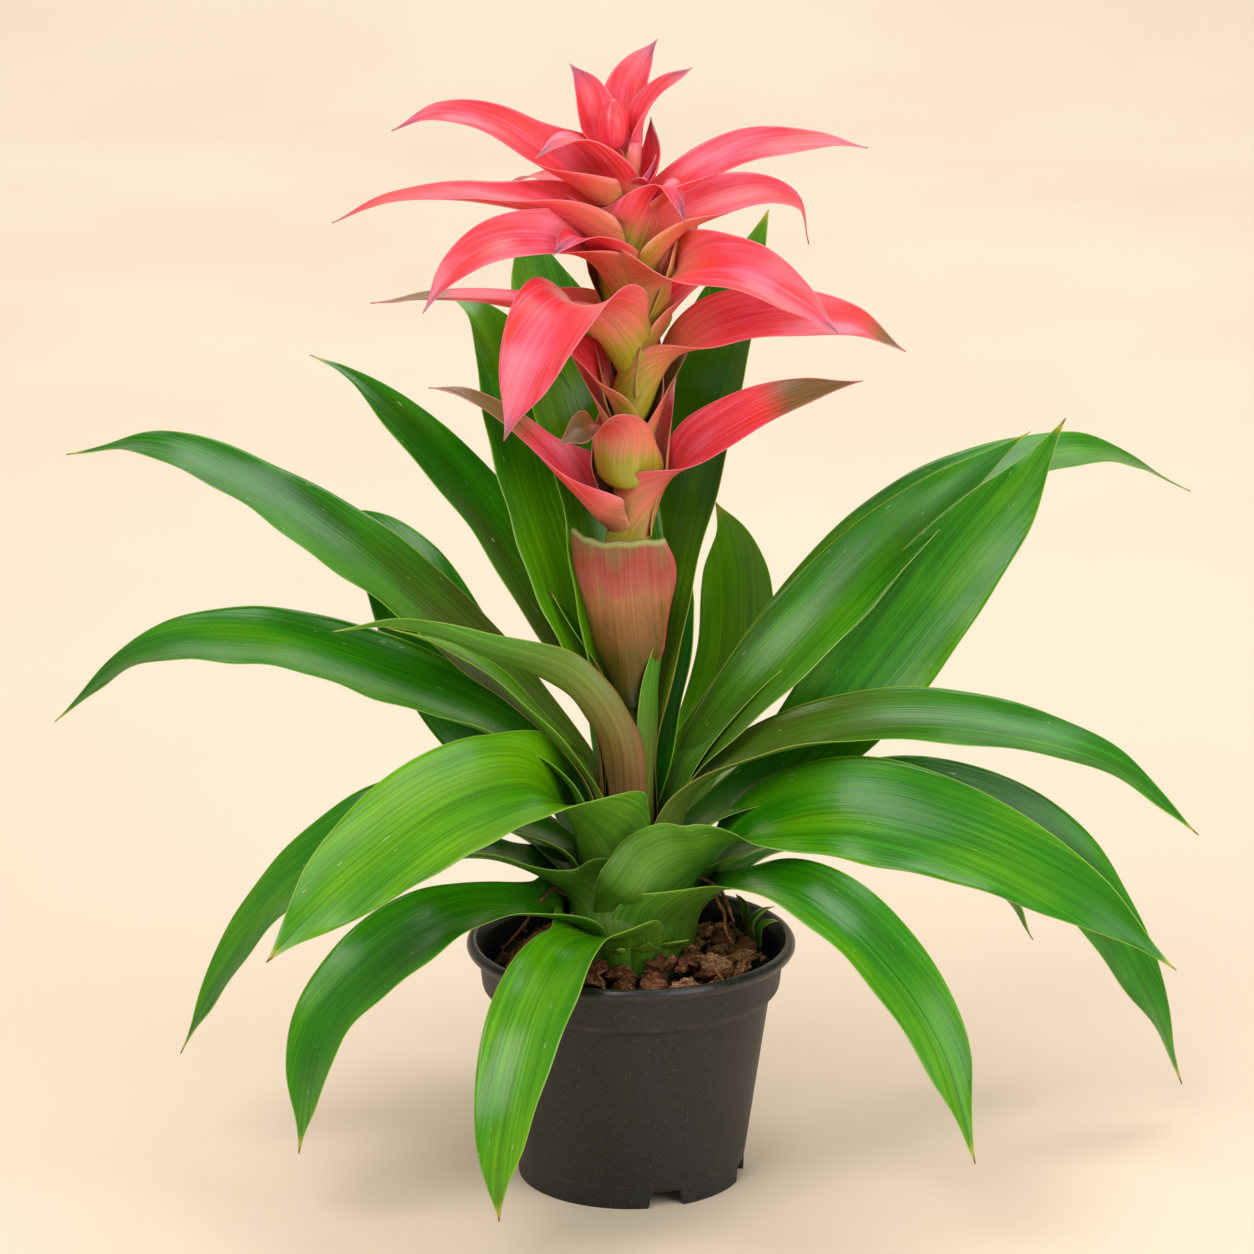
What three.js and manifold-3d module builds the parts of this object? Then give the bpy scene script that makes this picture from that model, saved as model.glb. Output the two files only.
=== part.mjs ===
// A potted guzmania: a rosette of strap leaves round a short crown, a stalk that carries a head of coral
// bracts, and a nursery pot filled with bark. Millimetres, +Z up, the origin on the floor under the pot's
// centre. Azimuths are in degrees seen from above: 0 points right, 90 to the back, -90 to the front.
import * as THREE from "three";
import { mergeVertices } from "three/addons/utils/BufferGeometryUtils.js";
import Module from "manifold-3d";

const wasm = await Module();
wasm.setup();

// Driving dimensions. The arcs, azimuths and counts are named with them.
const POT = {
  height: 98,
  beadRadius: 65,
  beadHeight: 5,
  collarFoot: 77.5,
  collarLow: 58.8,
  collarHigh: 60.4,
  bodyHigh: 55.2,
  bodyLow: 45.6,
  footHeight: 9.4,
  footRadius: 45,
  floorUnder: 6,
  wall: 1.5,
};
const NOTCH = { width: 15, height: 6.5, reach: 12, azimuths: [-72, -12, 48, 108, 168] };
const DRAIN = { count: 6, radius: 3, ring: 27 };
const BARK = {
  surface: 86,
  chips: 42,
  longest: 13,
  shortest: 7,
  innerRing: 27,
  outerRing: 49,
  turn: 2.4,
  sink: 1,
  lift: 1.6,
  seed: 11,
};
const CROWN = { root: 62, neckRadius: 13, soil: 88.5, girth: 25, ledge: 28, top: 140 };
const STALK = { radius: 6, taper: 0.6, top: 250, headTop: 428, tipRadius: 2.6 };
const BLADE = { thickness: 0.8, gap: 0.3, seat: 0.55, sheath: 10, flare: 1, tip: 0.5, sink: 0.2 };
const LEAF_GRID = { along: 8, across: 4 };
const BRACT_GRID = { along: 5, across: 3 };
const HEART = { radius: 6, height: 20, middle: 422, x: -5, y: -1 };
const CUP = { wrap: 100, channel: 50, open: 0.55, widest: 0.34 };
const SIMPLIFY = 0.2;
const MERGE = { fine: 0.0001, coarse: 0.001 };
const SEGMENTS = 36;

const COLOUR = {
  pot: 0x1d1d1f,
  bark: 0x6b4433,
  crown: 0x7f9440,
  leaf: 0x2f7d1e,
  bract: 0xe2505c,
};

// The leaves, from the lowest outside one to the innermost, then the two leaves on the stalk and the
// short sheaths at the crown's foot. foot: height where the blade starts. out: radius where it starts, if
// it isn't the crown's. turn: how far round the crown the foot stands from the azimuth. rib: the midrib
// as [out, up, aside] from the pot's axis in the azimuth's plane, aside counter-clockwise. width: the
// widest part, at the share widest of the length. point: how long the blade keeps its width. blunt: the
// share of the width left at the tip. wrap, channel, end: half angle of the section's arc at the foot,
// along the blade and at the tip. open: the share of the length over which the foot opens. roll: turn of
// the blade about its midrib.
const LEAVES = [
  { name: "leaf_01", azimuth: -112, foot: 90,
    rib: [[31, 107], [65, 113], [98, 100], [122, 74], [134, 48], [133, 27]],
    width: 34, wrap: 24, channel: 30 },
  { name: "leaf_02", azimuth: -38, foot: 90.5, turn: -4,
    rib: [[30, 114], [50, 130], [82, 135], [116, 121], [148, 89], [166, 42]],
    width: 36, wrap: 32, channel: 34 },
  { name: "leaf_03", azimuth: -150, foot: 91, turn: -22,
    rib: [[34, 112], [68, 120], [105, 110], [138, 82], [148, 35]],
    width: 40, wrap: 25, channel: 32, roll: -15 },
  { name: "leaf_04", azimuth: 33, foot: 91.5, rib: [[32, 110], [68, 122], [134, 110], [182, 82], [200, 58]],
    width: 28, wrap: 34, channel: 34 },
  { name: "leaf_05", azimuth: 95, foot: 92, turn: 10,
    rib: [[30, 112], [65, 124], [100, 112], [120, 78], [128, 42]],
    width: 34, wrap: 34, channel: 34 },
  { name: "leaf_07", azimuth: -172, foot: 95, turn: 30, rib: [[28, 119], [58, 134], [95, 130], [125, 112]],
    width: 30, wrap: 26, channel: 36 },
  { name: "leaf_06", azimuth: 145, foot: 96, rib: [[28, 121], [66, 134], [110, 118], [140, 90]],
    width: 32, wrap: 26, channel: 34 },
  { name: "leaf_08", azimuth: 12, foot: 97, turn: -14,
    rib: [[34, 124], [88, 145], [132, 139], [178, 112], [212, 62], [230, 17]],
    width: 46, wrap: 32, channel: 30, roll: 45 },
  { name: "leaf_10", azimuth: 65, foot: 98, rib: [[25, 124], [70, 140], [110, 138], [141, 116]],
    width: 34, wrap: 32, channel: 34 },
  { name: "leaf_09", azimuth: 178, foot: 102, rib: [[29, 135], [81, 150], [130, 121], [160, 84], [180, 46]],
    width: 38, wrap: 24, channel: 30, roll: -25 },
  { name: "leaf_11", azimuth: 122, foot: 103, rib: [[26, 129], [70, 152], [120, 138], [154, 88]],
    width: 34, wrap: 26, channel: 34 },
  { name: "leaf_12", azimuth: -16, foot: 104, turn: -45,
    rib: [[26, 133], [50, 150], [90, 157], [134, 150], [182, 130], [218, 105]],
    width: 46, wrap: 32, channel: 28, roll: 52 },
  { name: "leaf_13", azimuth: -145, foot: 109, turn: 20,
    rib: [[24, 146], [48, 169], [85, 168], [124, 151], [150, 135], [168, 121]],
    width: 45, wrap: 34, channel: 24, roll: -46, widest: 0.5, point: 2.4 },
  { name: "leaf_14", azimuth: 143, foot: 109,
    rib: [[27, 150], [70, 172], [95, 200], [115, 228], [141, 243], [162, 232]],
    width: 46, wrap: 28, channel: 26, roll: -40 },
  { name: "leaf_17", azimuth: 13, foot: 110, turn: -5,
    rib: [[28, 141], [66, 165], [102, 206], [132, 243], [157, 272], [175, 299]],
    width: 44, wrap: 24, channel: 22, roll: 60, widest: 0.55 },
  { name: "leaf_18", azimuth: 60, foot: 111,
    rib: [[40, 146], [66, 166], [79, 192], [82, 220], [82, 242, 3], [80, 256, 10]],
    width: 34, wrap: 26, channel: 26, point: 4, widest: 0.6 },
  { name: "leaf_16", azimuth: 173, foot: 114,
    rib: [[24, 160], [54, 182], [108, 203], [152, 213], [195, 207], [230, 178]],
    width: 42, wrap: 32, channel: 42, roll: -22 },
  { name: "leaf_15", azimuth: -4, foot: 116, turn: -30,
    rib: [[24, 156], [50, 175], [97, 187], [144, 185], [188, 173], [222, 145]],
    width: 38, wrap: 34, channel: 38, roll: 18 },
  { name: "leaf_21", azimuth: 96, foot: 117, rib: [[16, 150], [45, 190], [85, 205], [122, 190]],
    width: 32, wrap: 28, channel: 34 },
  { name: "leaf_19", azimuth: 165, foot: 121,
    rib: [[19, 162], [53, 199], [102, 239], [151, 269], [193, 285], [232, 279]],
    width: 38, wrap: 34, channel: 32, roll: -22 },
  { name: "leaf_20", azimuth: 30, foot: 127, turn: 5,
    rib: [[27, 168], [73, 212], [120, 247], [168, 265], [218, 268], [266, 245]],
    width: 36, wrap: 26, channel: 34, roll: 20 },
  { name: "leaf_23", azimuth: -176, foot: 123, turn: 24,
    rib: [[16, 160], [36, 186], [59, 210], [79, 221], [96, 227]],
    width: 22, wrap: 36, channel: 40 },
  { name: "leaf_22", azimuth: 20, foot: 121, turn: -18,
    rib: [[27, 166], [60, 204], [104, 246], [140, 272], [168, 289]],
    width: 34, wrap: 30, channel: 28, roll: 40 },
  { name: "leaf_25", azimuth: 60, foot: 127, turn: 30, rib: [[14, 165], [26, 200], [38, 228], [46, 246]],
    width: 22, wrap: 30, channel: 34 },
  { name: "leaf_24", azimuth: -170, foot: 129, turn: 58,
    rib: [[6, 165, 13], [11, 190, 18], [28, 212, 17], [58, 222, 9], [90, 232, 4], [117, 229]],
    width: 32, wrap: 40, channel: 38, roll: -20, widest: 0.35, open: 0.8 },
  { name: "leaf_26", azimuth: 162, foot: 131,
    rib: [[15, 190], [39, 238], [67, 275], [96, 303], [117, 318], [132, 324]],
    width: 30, wrap: 34, channel: 28, roll: -30 },
  { name: "leaf_27", azimuth: 52, foot: 133, rib: [[12, 200], [38, 277], [60, 330], [88, 376]],
    width: 34, wrap: 30, channel: 34 },
  { name: "leaf_28", azimuth: 148, foot: 134,
    rib: [[11, 190], [25, 238], [40, 275], [52, 314], [68, 340], [84, 348]],
    width: 38, wrap: 30, channel: 30, roll: -20 },
  { name: "leaf_29", azimuth: 122, foot: 137, rib: [[8.8, 200], [19, 262], [38, 320], [70, 358]],
    width: 24, wrap: 30, channel: 34 },
  { name: "leaf_30", azimuth: -34, foot: 138, turn: -15, rib: [[9, 170], [11, 205], [18, 238]],
    width: 15, wrap: 38, channel: 45 },
  { name: "stalk_leaf_1", azimuth: -125, foot: 194, rib: [[11, 216], [18, 240], [23, 264]],
    width: 39, wrap: 60, channel: 60, end: 56, widest: 0.8, blunt: 0.85 },
  { name: "stalk_leaf_2", azimuth: 178, foot: 184, rib: [[13, 206], [22, 224], [32, 240]],
    width: 13, wrap: 34, channel: 40 },
  { name: "sheath_1", azimuth: -78, foot: 89.7, out: 27.2, rib: [[32, 99], [38, 105]],
    width: 15, wrap: 11, channel: 24, blunt: 0.5 },
  { name: "sheath_2", azimuth: -100, foot: 89.7, out: 27.2, rib: [[34, 97], [41, 101]],
    width: 14, wrap: 11, channel: 24, blunt: 0.6 },
  { name: "sheath_3", azimuth: -54, foot: 89.7, out: 27.2, rib: [[34, 98], [42, 102]],
    width: 14, wrap: 11, channel: 24, blunt: 0.5 },
];

// The head's bracts, from the lowest up, with the same values. foot: height of the root on the stalk.
const BRACTS = [
  { azimuth: -15, foot: 251, turn: -50,
    rib: [[19, 290], [43, 310], [67, 322], [91, 329]],
    width: 28, roll: 45 },
  { azimuth: 178, foot: 252,
    rib: [[14, 270], [28, 288], [46, 306], [64, 318], [78, 320]],
    width: 18, wrap: 70, roll: -25 },
  { azimuth: 80, foot: 262, rib: [[13, 290], [30, 308], [60, 314], [84, 304]], width: 28 },
  { azimuth: -120, foot: 272, turn: 28, rib: [[15, 306], [34, 322], [50, 318], [58, 306]], width: 36 },
  { azimuth: 20, foot: 282, rib: [[12, 312], [20, 330], [26, 345]], width: 20 },
  { azimuth: 140, foot: 282, rib: [[13, 312], [26, 332], [40, 338]], width: 26, wrap: 70 },
  { azimuth: -170, foot: 294, turn: 30, rib: [[13, 326], [26, 340], [38, 338]], width: 28, roll: -30 },
  { azimuth: -10, foot: 300, turn: -55,
    rib: [[20, 336], [50, 349], [84, 350], [106, 339]],
    width: 32, roll: 40 },
  { azimuth: 100, foot: 300, rib: [[13, 330], [40, 342], [66, 338]], width: 28, wrap: 70 },
  { azimuth: -125, foot: 318, rib: [[16, 349], [40, 364], [67, 349], [83, 318]], width: 34 },
  { azimuth: 178, foot: 318, rib: [[18, 344], [50, 353], [78, 355], [100, 353]], width: 24 },
  { azimuth: 40, foot: 318, rib: [[14, 346], [34, 358], [56, 352]], width: 28 },
  { azimuth: -35, foot: 332, turn: -55,
    rib: [[19, 366], [50, 372], [77, 364], [95, 354]],
    width: 32, roll: 35 },
  { azimuth: 75, foot: 336, rib: [[15, 364], [44, 376], [74, 370], [92, 352]], width: 28 },
  { azimuth: -150, foot: 340,
    rib: [[16, 370], [34, 381], [58, 383], [78, 374], [90, 360]],
    width: 30, roll: -35 },
  { azimuth: 25, foot: 350, rib: [[20, 382], [48, 391], [70, 387], [76, 370]], width: 30, roll: 25 },
  { azimuth: -130, foot: 344, turn: 35, rib: [[14, 372], [30, 384], [46, 380]], width: 30 },
  { azimuth: 135, foot: 354, rib: [[15, 382], [45, 396], [70, 390]], width: 26 },
  { azimuth: 180, foot: 356,
    rib: [[16, 380], [34, 389], [66, 395], [92, 394], [114, 385]],
    width: 24, roll: -10 },
  { azimuth: -60, foot: 360, turn: -30, rib: [[13, 392], [28, 405], [40, 400], [46, 388]], width: 26 },
  { azimuth: 100, foot: 366, rib: [[14, 394], [36, 406], [58, 400]], width: 26 },
  { azimuth: 10, foot: 370, rib: [[14, 394], [44, 411], [73, 414], [92, 411]], width: 28, roll: 30 },
  { azimuth: 178, foot: 376,
    rib: [[14, 394], [27, 406], [50, 422], [73, 427], [91, 420]],
    width: 28, roll: -40 },
  { azimuth: -160, foot: 380, turn: 40, rib: [[12, 407], [26, 418], [40, 414]], width: 28 },
  { azimuth: 60, foot: 384, rib: [[12, 410], [26, 424], [36, 424]], width: 24 },
  { azimuth: -20, foot: 390, turn: -30, rib: [[9, 408], [13, 424]], width: 20 },
  { azimuth: 178, foot: 402, rib: [[9, 420], [14, 434], [22, 446]], width: 20 },
  { azimuth: -10, foot: 402, rib: [[9, 418], [15, 432], [24, 446]], width: 20 },
  { azimuth: 70, foot: 404, rib: [[9, 424], [13, 440], [20, 453]], width: 24 },
];

const UP = new THREE.Vector3(0, 0, 1);
const rad = (degrees) => (degrees * Math.PI) / 180;
const smooth = (low, high, value) => THREE.MathUtils.smoothstep(value, low, high);

// A mesh of the group with its own material.
function piece(name, geometry, colour, roughness) {
  const made = new THREE.Mesh(geometry, new THREE.MeshStandardMaterial({ color: colour, roughness }));
  made.name = name;
  return made;
}

// A closed geometry as a manifold-3d solid, and back.
function toSolid(geometry, tolerance = MERGE.fine) {
  const bare = geometry.clone();
  bare.deleteAttribute("normal");
  bare.deleteAttribute("uv");
  const merged = mergeVertices(bare, tolerance);
  return new wasm.Manifold(
    new wasm.Mesh({
      numProp: 3,
      vertProperties: new Float32Array(merged.attributes.position.array),
      triVerts: new Uint32Array(merged.index.array),
    }),
  );
}

function toGeometry(solid) {
  const mesh = solid.getMesh();
  const geometry = new THREE.BufferGeometry();
  geometry.setAttribute("position", new THREE.BufferAttribute(new Float32Array(mesh.vertProperties), 3));
  geometry.setIndex(new THREE.BufferAttribute(new Uint32Array(mesh.triVerts), 1));
  geometry.computeVertexNormals();
  return geometry;
}

const joined = (geometries) => geometries.map((geometry) => toSolid(geometry)).reduce((sum, next) => sum.add(next));

// The largest body of a solid, without loose scraps and with sealed hollows filled.
function largestBody(solid) {
  return solid.decompose().reduce((most, body) => (body.volume() > most.volume() ? body : most));
}

// A lathe about +Z from [radius, height] points.
function turned(points, segments = SEGMENTS) {
  const profile = points.map(([r, z]) => new THREE.Vector2(r, z));
  return new THREE.LatheGeometry(profile, segments).rotateX(Math.PI / 2);
}

// The crown's cone: its radius at a height.
function crownRadius(height) {
  const share = (height - CROWN.soil) / (CROWN.top - CROWN.soil);
  return THREE.MathUtils.lerp(CROWN.girth, STALK.radius + STALK.taper, THREE.MathUtils.clamp(share, 0, 1));
}

// A blade: a midrib curve with a section that is an arc. The arc wraps the axis at the foot and opens
// along the blade; both faces are split along the same diagonals.
function bladeGeometry(row, footOut, grid, allowance = 0) {
  const { azimuth, foot, rib, width } = row;
  const { wrap = 70, channel = 34, end = 16, widest = 0.5, point = 2 } = row;
  const { roll = 0, turn = 0, open = 0.32, blunt = 0 } = row;
  const thickness = BLADE.thickness + 2 * allowance;
  const place = ([out, up, aside = 0]) => {
    const bearing = rad(azimuth);
    return new THREE.Vector3(out, aside, up).applyAxisAngle(UP, bearing);
  };
  const sheath = [0, 1].map((step) => {
    const start = new THREE.Vector3(footOut + step * BLADE.flare, 0, foot + step * BLADE.sheath);
    return start.applyAxisAngle(UP, rad(azimuth + turn));
  });
  const curve = new THREE.CatmullRomCurve3([...sheath, ...rib.map(place)], false, "catmullrom", 0.5);
  const footHalf = footOut * rad(wrap);
  const position = [];
  for (let i = 0; i <= grid.along; i += 1) {
    const u = i / grid.along;
    const centre = curve.getPointAt(u);
    const along = curve.getTangentAt(u);
    const facing = rad(azimuth + turn * (1 - smooth(0, open, u)));
    const side = new THREE.Vector3(Math.sin(facing), -Math.cos(facing), 0);
    side.addScaledVector(along, -side.dot(along)).normalize();
    side.applyAxisAngle(along, rad(roll) * smooth(0.1, 0.5, u));
    const normal = side.clone().cross(along);
    const swell = THREE.MathUtils.lerp(footHalf, width / 2, smooth(0, widest, u));
    const past = Math.max(u - widest, 0) / (1 - widest);
    const taper = 1 - (1 - blunt) * past ** point;
    const half = Math.max(swell * taper, BLADE.tip) + allowance;
    const body = THREE.MathUtils.lerp(channel, end, smooth(0.4, 1, u));
    const arc = rad(THREE.MathUtils.lerp(wrap, body, smooth(0, open, u)));
    const radius = half / arc;
    for (const lift of [0.5, -0.5])
      for (let j = 0; j <= grid.across; j += 1) {
        const angle = arc * ((2 * j) / grid.across - 1);
        const reach = radius - lift * thickness;
        const point3 = centre
          .clone()
          .addScaledVector(side, reach * Math.sin(angle))
          .addScaledVector(normal, radius - reach * Math.cos(angle));
        position.push(point3.x, point3.y, point3.z);
      }
  }
  const geometry = new THREE.BufferGeometry();
  geometry.setAttribute("position", new THREE.Float32BufferAttribute(position, 3));
  geometry.setIndex(bladeFaces(grid));
  geometry.computeVertexNormals();
  return geometry;
}

// The faces of a blade's grid: upper face, lower face, two margins, foot and tip.
function bladeFaces({ along, across }) {
  const row = across + 1;
  const at = (i, j, lower) => (2 * i + (lower ? 1 : 0)) * row + j;
  const faces = [];
  const quad = (a, b, c, d) => faces.push(a, b, c, a, c, d);
  for (let i = 0; i < along; i += 1) {
    for (let j = 0; j < across; j += 1) {
      quad(at(i, j), at(i, j + 1), at(i + 1, j + 1), at(i + 1, j));
      faces.push(at(i, j, true), at(i + 1, j + 1, true), at(i, j + 1, true));
      faces.push(at(i, j, true), at(i + 1, j, true), at(i + 1, j + 1, true));
    }
    quad(at(i, 0, true), at(i, 0), at(i + 1, 0), at(i + 1, 0, true));
    quad(at(i, across), at(i, across, true), at(i + 1, across, true), at(i + 1, across));
  }
  for (let j = 0; j < across; j += 1) {
    quad(at(0, j, true), at(0, j + 1, true), at(0, j + 1), at(0, j));
    quad(at(along, j), at(along, j + 1), at(along, j + 1, true), at(along, j, true));
  }
  return faces;
}

// The radius at which a blade's foot stands, from the axis to the middle of its thickness.
function footRadius({ foot, out }) {
  return out ?? crownRadius(foot) + BLADE.seat + BLADE.thickness / 2;
}

// The solids of all blades. Where an inner blade crosses an outer one, it is notched to clear it.
function leafSolids() {
  const done = [];
  for (const row of LEAVES) {
    let solid = toSolid(bladeGeometry(row, footRadius(row), LEAF_GRID));
    for (const other of done) {
      if (solid.intersect(other.solid).isEmpty()) continue;
      const guard = toSolid(bladeGeometry(other.row, footRadius(other.row), LEAF_GRID, BLADE.gap));
      solid = largestBody(solid.subtract(guard));
    }
    done.push({ row, solid });
  }
  return done;
}

// The pot: a turned cup on a foot ring with notches, and drain holes through its floor.
function potGeometry() {
  const p = POT;
  let body = toSolid(
    turned([
      [0, p.floorUnder],
      [p.footRadius - 5, p.floorUnder],
      [p.footRadius - 4, 0],
      [p.footRadius, 0],
      [p.footRadius + 0.2, p.footHeight - 0.4],
      [p.bodyLow, p.footHeight],
      [p.bodyHigh, p.collarFoot - 1],
      [p.collarLow - 1.2, p.collarFoot],
      [p.collarLow, p.collarFoot + 1.4],
      [p.collarHigh, p.height - p.beadHeight],
      [p.beadRadius - 1, p.height - p.beadHeight],
      [p.beadRadius, p.height - p.beadHeight / 2],
      [p.beadRadius - 1.2, p.height - 0.4],
      [p.beadRadius - 2.5, p.height],
      [p.beadRadius - 4, p.height - 0.8],
      [p.collarHigh - p.wall, p.height - p.beadHeight],
      [p.collarLow - p.wall, p.collarFoot + 1],
      [p.bodyHigh - p.wall, p.collarFoot - 3],
      [p.bodyLow - p.wall, p.floorUnder + p.wall + 1],
      [p.bodyLow - p.wall - 2, p.floorUnder + p.wall],
      [0, p.floorUnder + p.wall],
    ]),
  );
  for (const azimuth of NOTCH.azimuths) {
    const notch = new THREE.BoxGeometry(NOTCH.reach, NOTCH.width, 2 * NOTCH.height);
    notch.translate(p.footRadius - 1, 0, 0).rotateZ(rad(azimuth));
    body = body.subtract(toSolid(notch));
  }
  for (let k = 0; k < DRAIN.count; k += 1) {
    const hole = new THREE.CylinderGeometry(DRAIN.radius, DRAIN.radius, 20, 12).rotateX(Math.PI / 2);
    const angle = (2 * Math.PI * k) / DRAIN.count;
    hole.translate(DRAIN.ring * Math.cos(angle), DRAIN.ring * Math.sin(angle), POT.floorUnder);
    body = body.subtract(toSolid(hole));
  }
  return toGeometry(body);
}

// A repeatable draw between 0 and 1.
function randomFrom(seed) {
  let state = seed;
  return () => {
    state = (state * 16807) % 2147483647;
    return state / 2147483647;
  };
}

// The bark mix: a plug that fills the pot, with a plain hole for the crown's root and chips on top.
function barkGeometry() {
  const p = POT;
  const gap = BLADE.gap;
  const hole = CROWN.neckRadius + gap;
  const low = p.floorUnder + p.wall + gap;
  const plug = turned(
    [
      [0, low],
      [p.bodyLow - p.wall - 3, low],
      [p.bodyHigh - p.wall - 1.2, p.collarFoot - 4],
      [p.collarLow - p.wall - 1.6, BARK.surface - 2],
      [hole, BARK.surface + 1],
      [hole, CROWN.root - gap],
      [0, CROWN.root - gap],
    ],
    32,
  );
  const next = randomFrom(BARK.seed);
  const chips = [];
  for (let k = 0; k < BARK.chips; k += 1) {
    const size = THREE.MathUtils.lerp(BARK.shortest, BARK.longest, next());
    const share = (k + next()) / BARK.chips;
    const ring = Math.sqrt(THREE.MathUtils.lerp(BARK.innerRing ** 2, BARK.outerRing ** 2, share));
    const turn = k * BARK.turn;
    const chip = new THREE.IcosahedronGeometry(size / 2, 0);
    chip.scale(1, 0.55 + 0.3 * next(), 0.45 + 0.25 * next());
    chip.rotateX(next() - 0.5).rotateY(next() - 0.5).rotateZ(6 * next());
    const height = BARK.surface - BARK.sink + BARK.lift * next();
    chip.translate(ring * Math.cos(turn), ring * Math.sin(turn), height);
    chips.push(chip);
  }
  const rim = p.collarLow - p.wall - gap;
  const top = CROWN.soil - gap;
  const keep = turned(
    [
      [hole + gap, p.collarFoot],
      [rim, p.collarFoot],
      [rim, top + 8],
      [CROWN.ledge + 14, top + 8],
      [CROWN.ledge + 4, top],
      [hole + gap, top],
      [hole + gap, p.collarFoot],
    ],
    32,
  );
  return toGeometry(toSolid(plug).add(joined(chips).intersect(toSolid(keep))).simplify(SIMPLIFY));
}

// The crown and flower stalk in one: a root in the bark, a cone for the leaves and the plain stalk.
function stalkGeometry() {
  const c = CROWN;
  return turned(
    [
      [0, c.root],
      [c.neckRadius - 3, c.root],
      [c.neckRadius, c.root + 4],
      [c.neckRadius, c.soil],
      [c.ledge, c.soil],
      [c.ledge, c.soil + 0.8],
      [c.girth, c.soil + 1],
      [STALK.radius + STALK.taper, c.top],
      [STALK.radius, c.top + 20],
      [STALK.radius - STALK.taper, STALK.top - BLADE.gap],
      [0, STALK.top - BLADE.gap],
    ],
    20,
  );
}

// The flower head: a slim core with every bract's root sunk in it, and the closed heart on top.
function headGeometry() {
  const core = turned(
    [
      [0, STALK.top],
      [STALK.radius - STALK.taper, STALK.top],
      [STALK.tipRadius, STALK.headTop],
      [0, STALK.headTop],
    ],
    12,
  );
  const heart = new THREE.SphereGeometry(1, 10, 8).rotateX(Math.PI / 2);
  heart.scale(HEART.radius, HEART.radius, HEART.height / 2).translate(HEART.x, HEART.y, HEART.middle);
  const bracts = BRACTS.map((row) => {
    const share = THREE.MathUtils.clamp((row.foot - STALK.top) / (STALK.headTop - STALK.top), 0, 1);
    const coreRadius = THREE.MathUtils.lerp(STALK.radius, STALK.tipRadius, share);
    return bladeGeometry({ ...CUP, ...row }, coreRadius - BLADE.sink, BRACT_GRID);
  });
  const fused = joined([core, heart, ...bracts]).simplify(SIMPLIFY);
  return toGeometry(largestBody(toSolid(toGeometry(fused), MERGE.coarse)));
}

const plant = new THREE.Group();
plant.name = "potted_guzmania";
plant.add(piece("pot", potGeometry(), COLOUR.pot, 0.7));
plant.add(piece("potting_bark", barkGeometry(), COLOUR.bark, 0.95));
plant.add(piece("crown_and_stalk", stalkGeometry(), COLOUR.crown, 0.5));
for (const { row, solid } of leafSolids()) plant.add(piece(row.name, toGeometry(solid), COLOUR.leaf, 0.35));
plant.add(piece("flower_head", headGeometry(), COLOUR.bract, 0.4));

export default plant;
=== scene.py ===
"""A potted guzmania: strap leaves, a stalk with a head of coral bracts, bark and a nursery pot.

The pieces are surfaces worked out with numpy from named sizes in millimetres, put on meshes in metres in
the frame of the solids. Azimuths are in degrees seen from above: 0 points right, 90 to the back. A step is
low and high, or low, high, first and last: what goes from low to high becomes first to last.
"""

import logging
import math
from collections.abc import Sequence
from dataclasses import dataclass, field, replace
from enum import Enum
from typing import NamedTuple

import bmesh
import bpy
import numpy as np
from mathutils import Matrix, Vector
from numpy.typing import NDArray


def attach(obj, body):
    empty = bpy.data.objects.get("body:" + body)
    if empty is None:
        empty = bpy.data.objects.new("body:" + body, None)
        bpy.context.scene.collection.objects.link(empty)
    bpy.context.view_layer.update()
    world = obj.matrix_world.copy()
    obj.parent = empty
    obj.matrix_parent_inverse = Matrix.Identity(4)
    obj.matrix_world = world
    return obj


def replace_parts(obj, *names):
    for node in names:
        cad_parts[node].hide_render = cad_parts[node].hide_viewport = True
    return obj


Array = NDArray[np.float64]
Rib = tuple[tuple[float, ...], ...]
Colour = tuple[float, float, float, float]
Step = tuple[float, ...]
Stops = tuple[tuple[float, str], ...]
Socket = bpy.types.NodeSocket

MM = 0.001
SAME_POINT = 1e-6
TURN = 2.0 * math.pi
WAVE_LENGTHS = (0.6, 1.7)
OBLIQUE = (0.31, 0.22, 0.93)
MOST_CUT = 0.45
BODY = "root"
LOG = logging.getLogger("potted_guzmania")

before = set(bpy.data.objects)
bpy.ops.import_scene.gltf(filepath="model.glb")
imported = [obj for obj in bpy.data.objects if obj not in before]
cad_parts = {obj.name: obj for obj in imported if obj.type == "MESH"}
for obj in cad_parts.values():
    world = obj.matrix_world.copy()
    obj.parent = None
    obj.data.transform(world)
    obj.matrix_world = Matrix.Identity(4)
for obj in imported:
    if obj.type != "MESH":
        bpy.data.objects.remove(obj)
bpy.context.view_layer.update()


# Numbers and noise

def smooth(low: float, high: float, value: Array | float) -> Array:
    """Smooth step: 0 below low, 1 above high and t * t * (3 - 2 t) between.

    Args:
        low: Where the step starts.
        high: Where it ends.
        value: The values to pass through it.

    Returns:
        The stepped values.
    """
    share = np.clip((np.asarray(value, dtype=float) - low) / (high - low), 0.0, 1.0)
    return share * share * (3.0 - 2.0 * share)


def blend(first: Array | float, second: Array | float, share: Array | float) -> Array:
    """Straight blend: first + (second - first) * share."""
    return np.asarray(first + (np.asarray(second) - first) * share, dtype=float)


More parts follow.
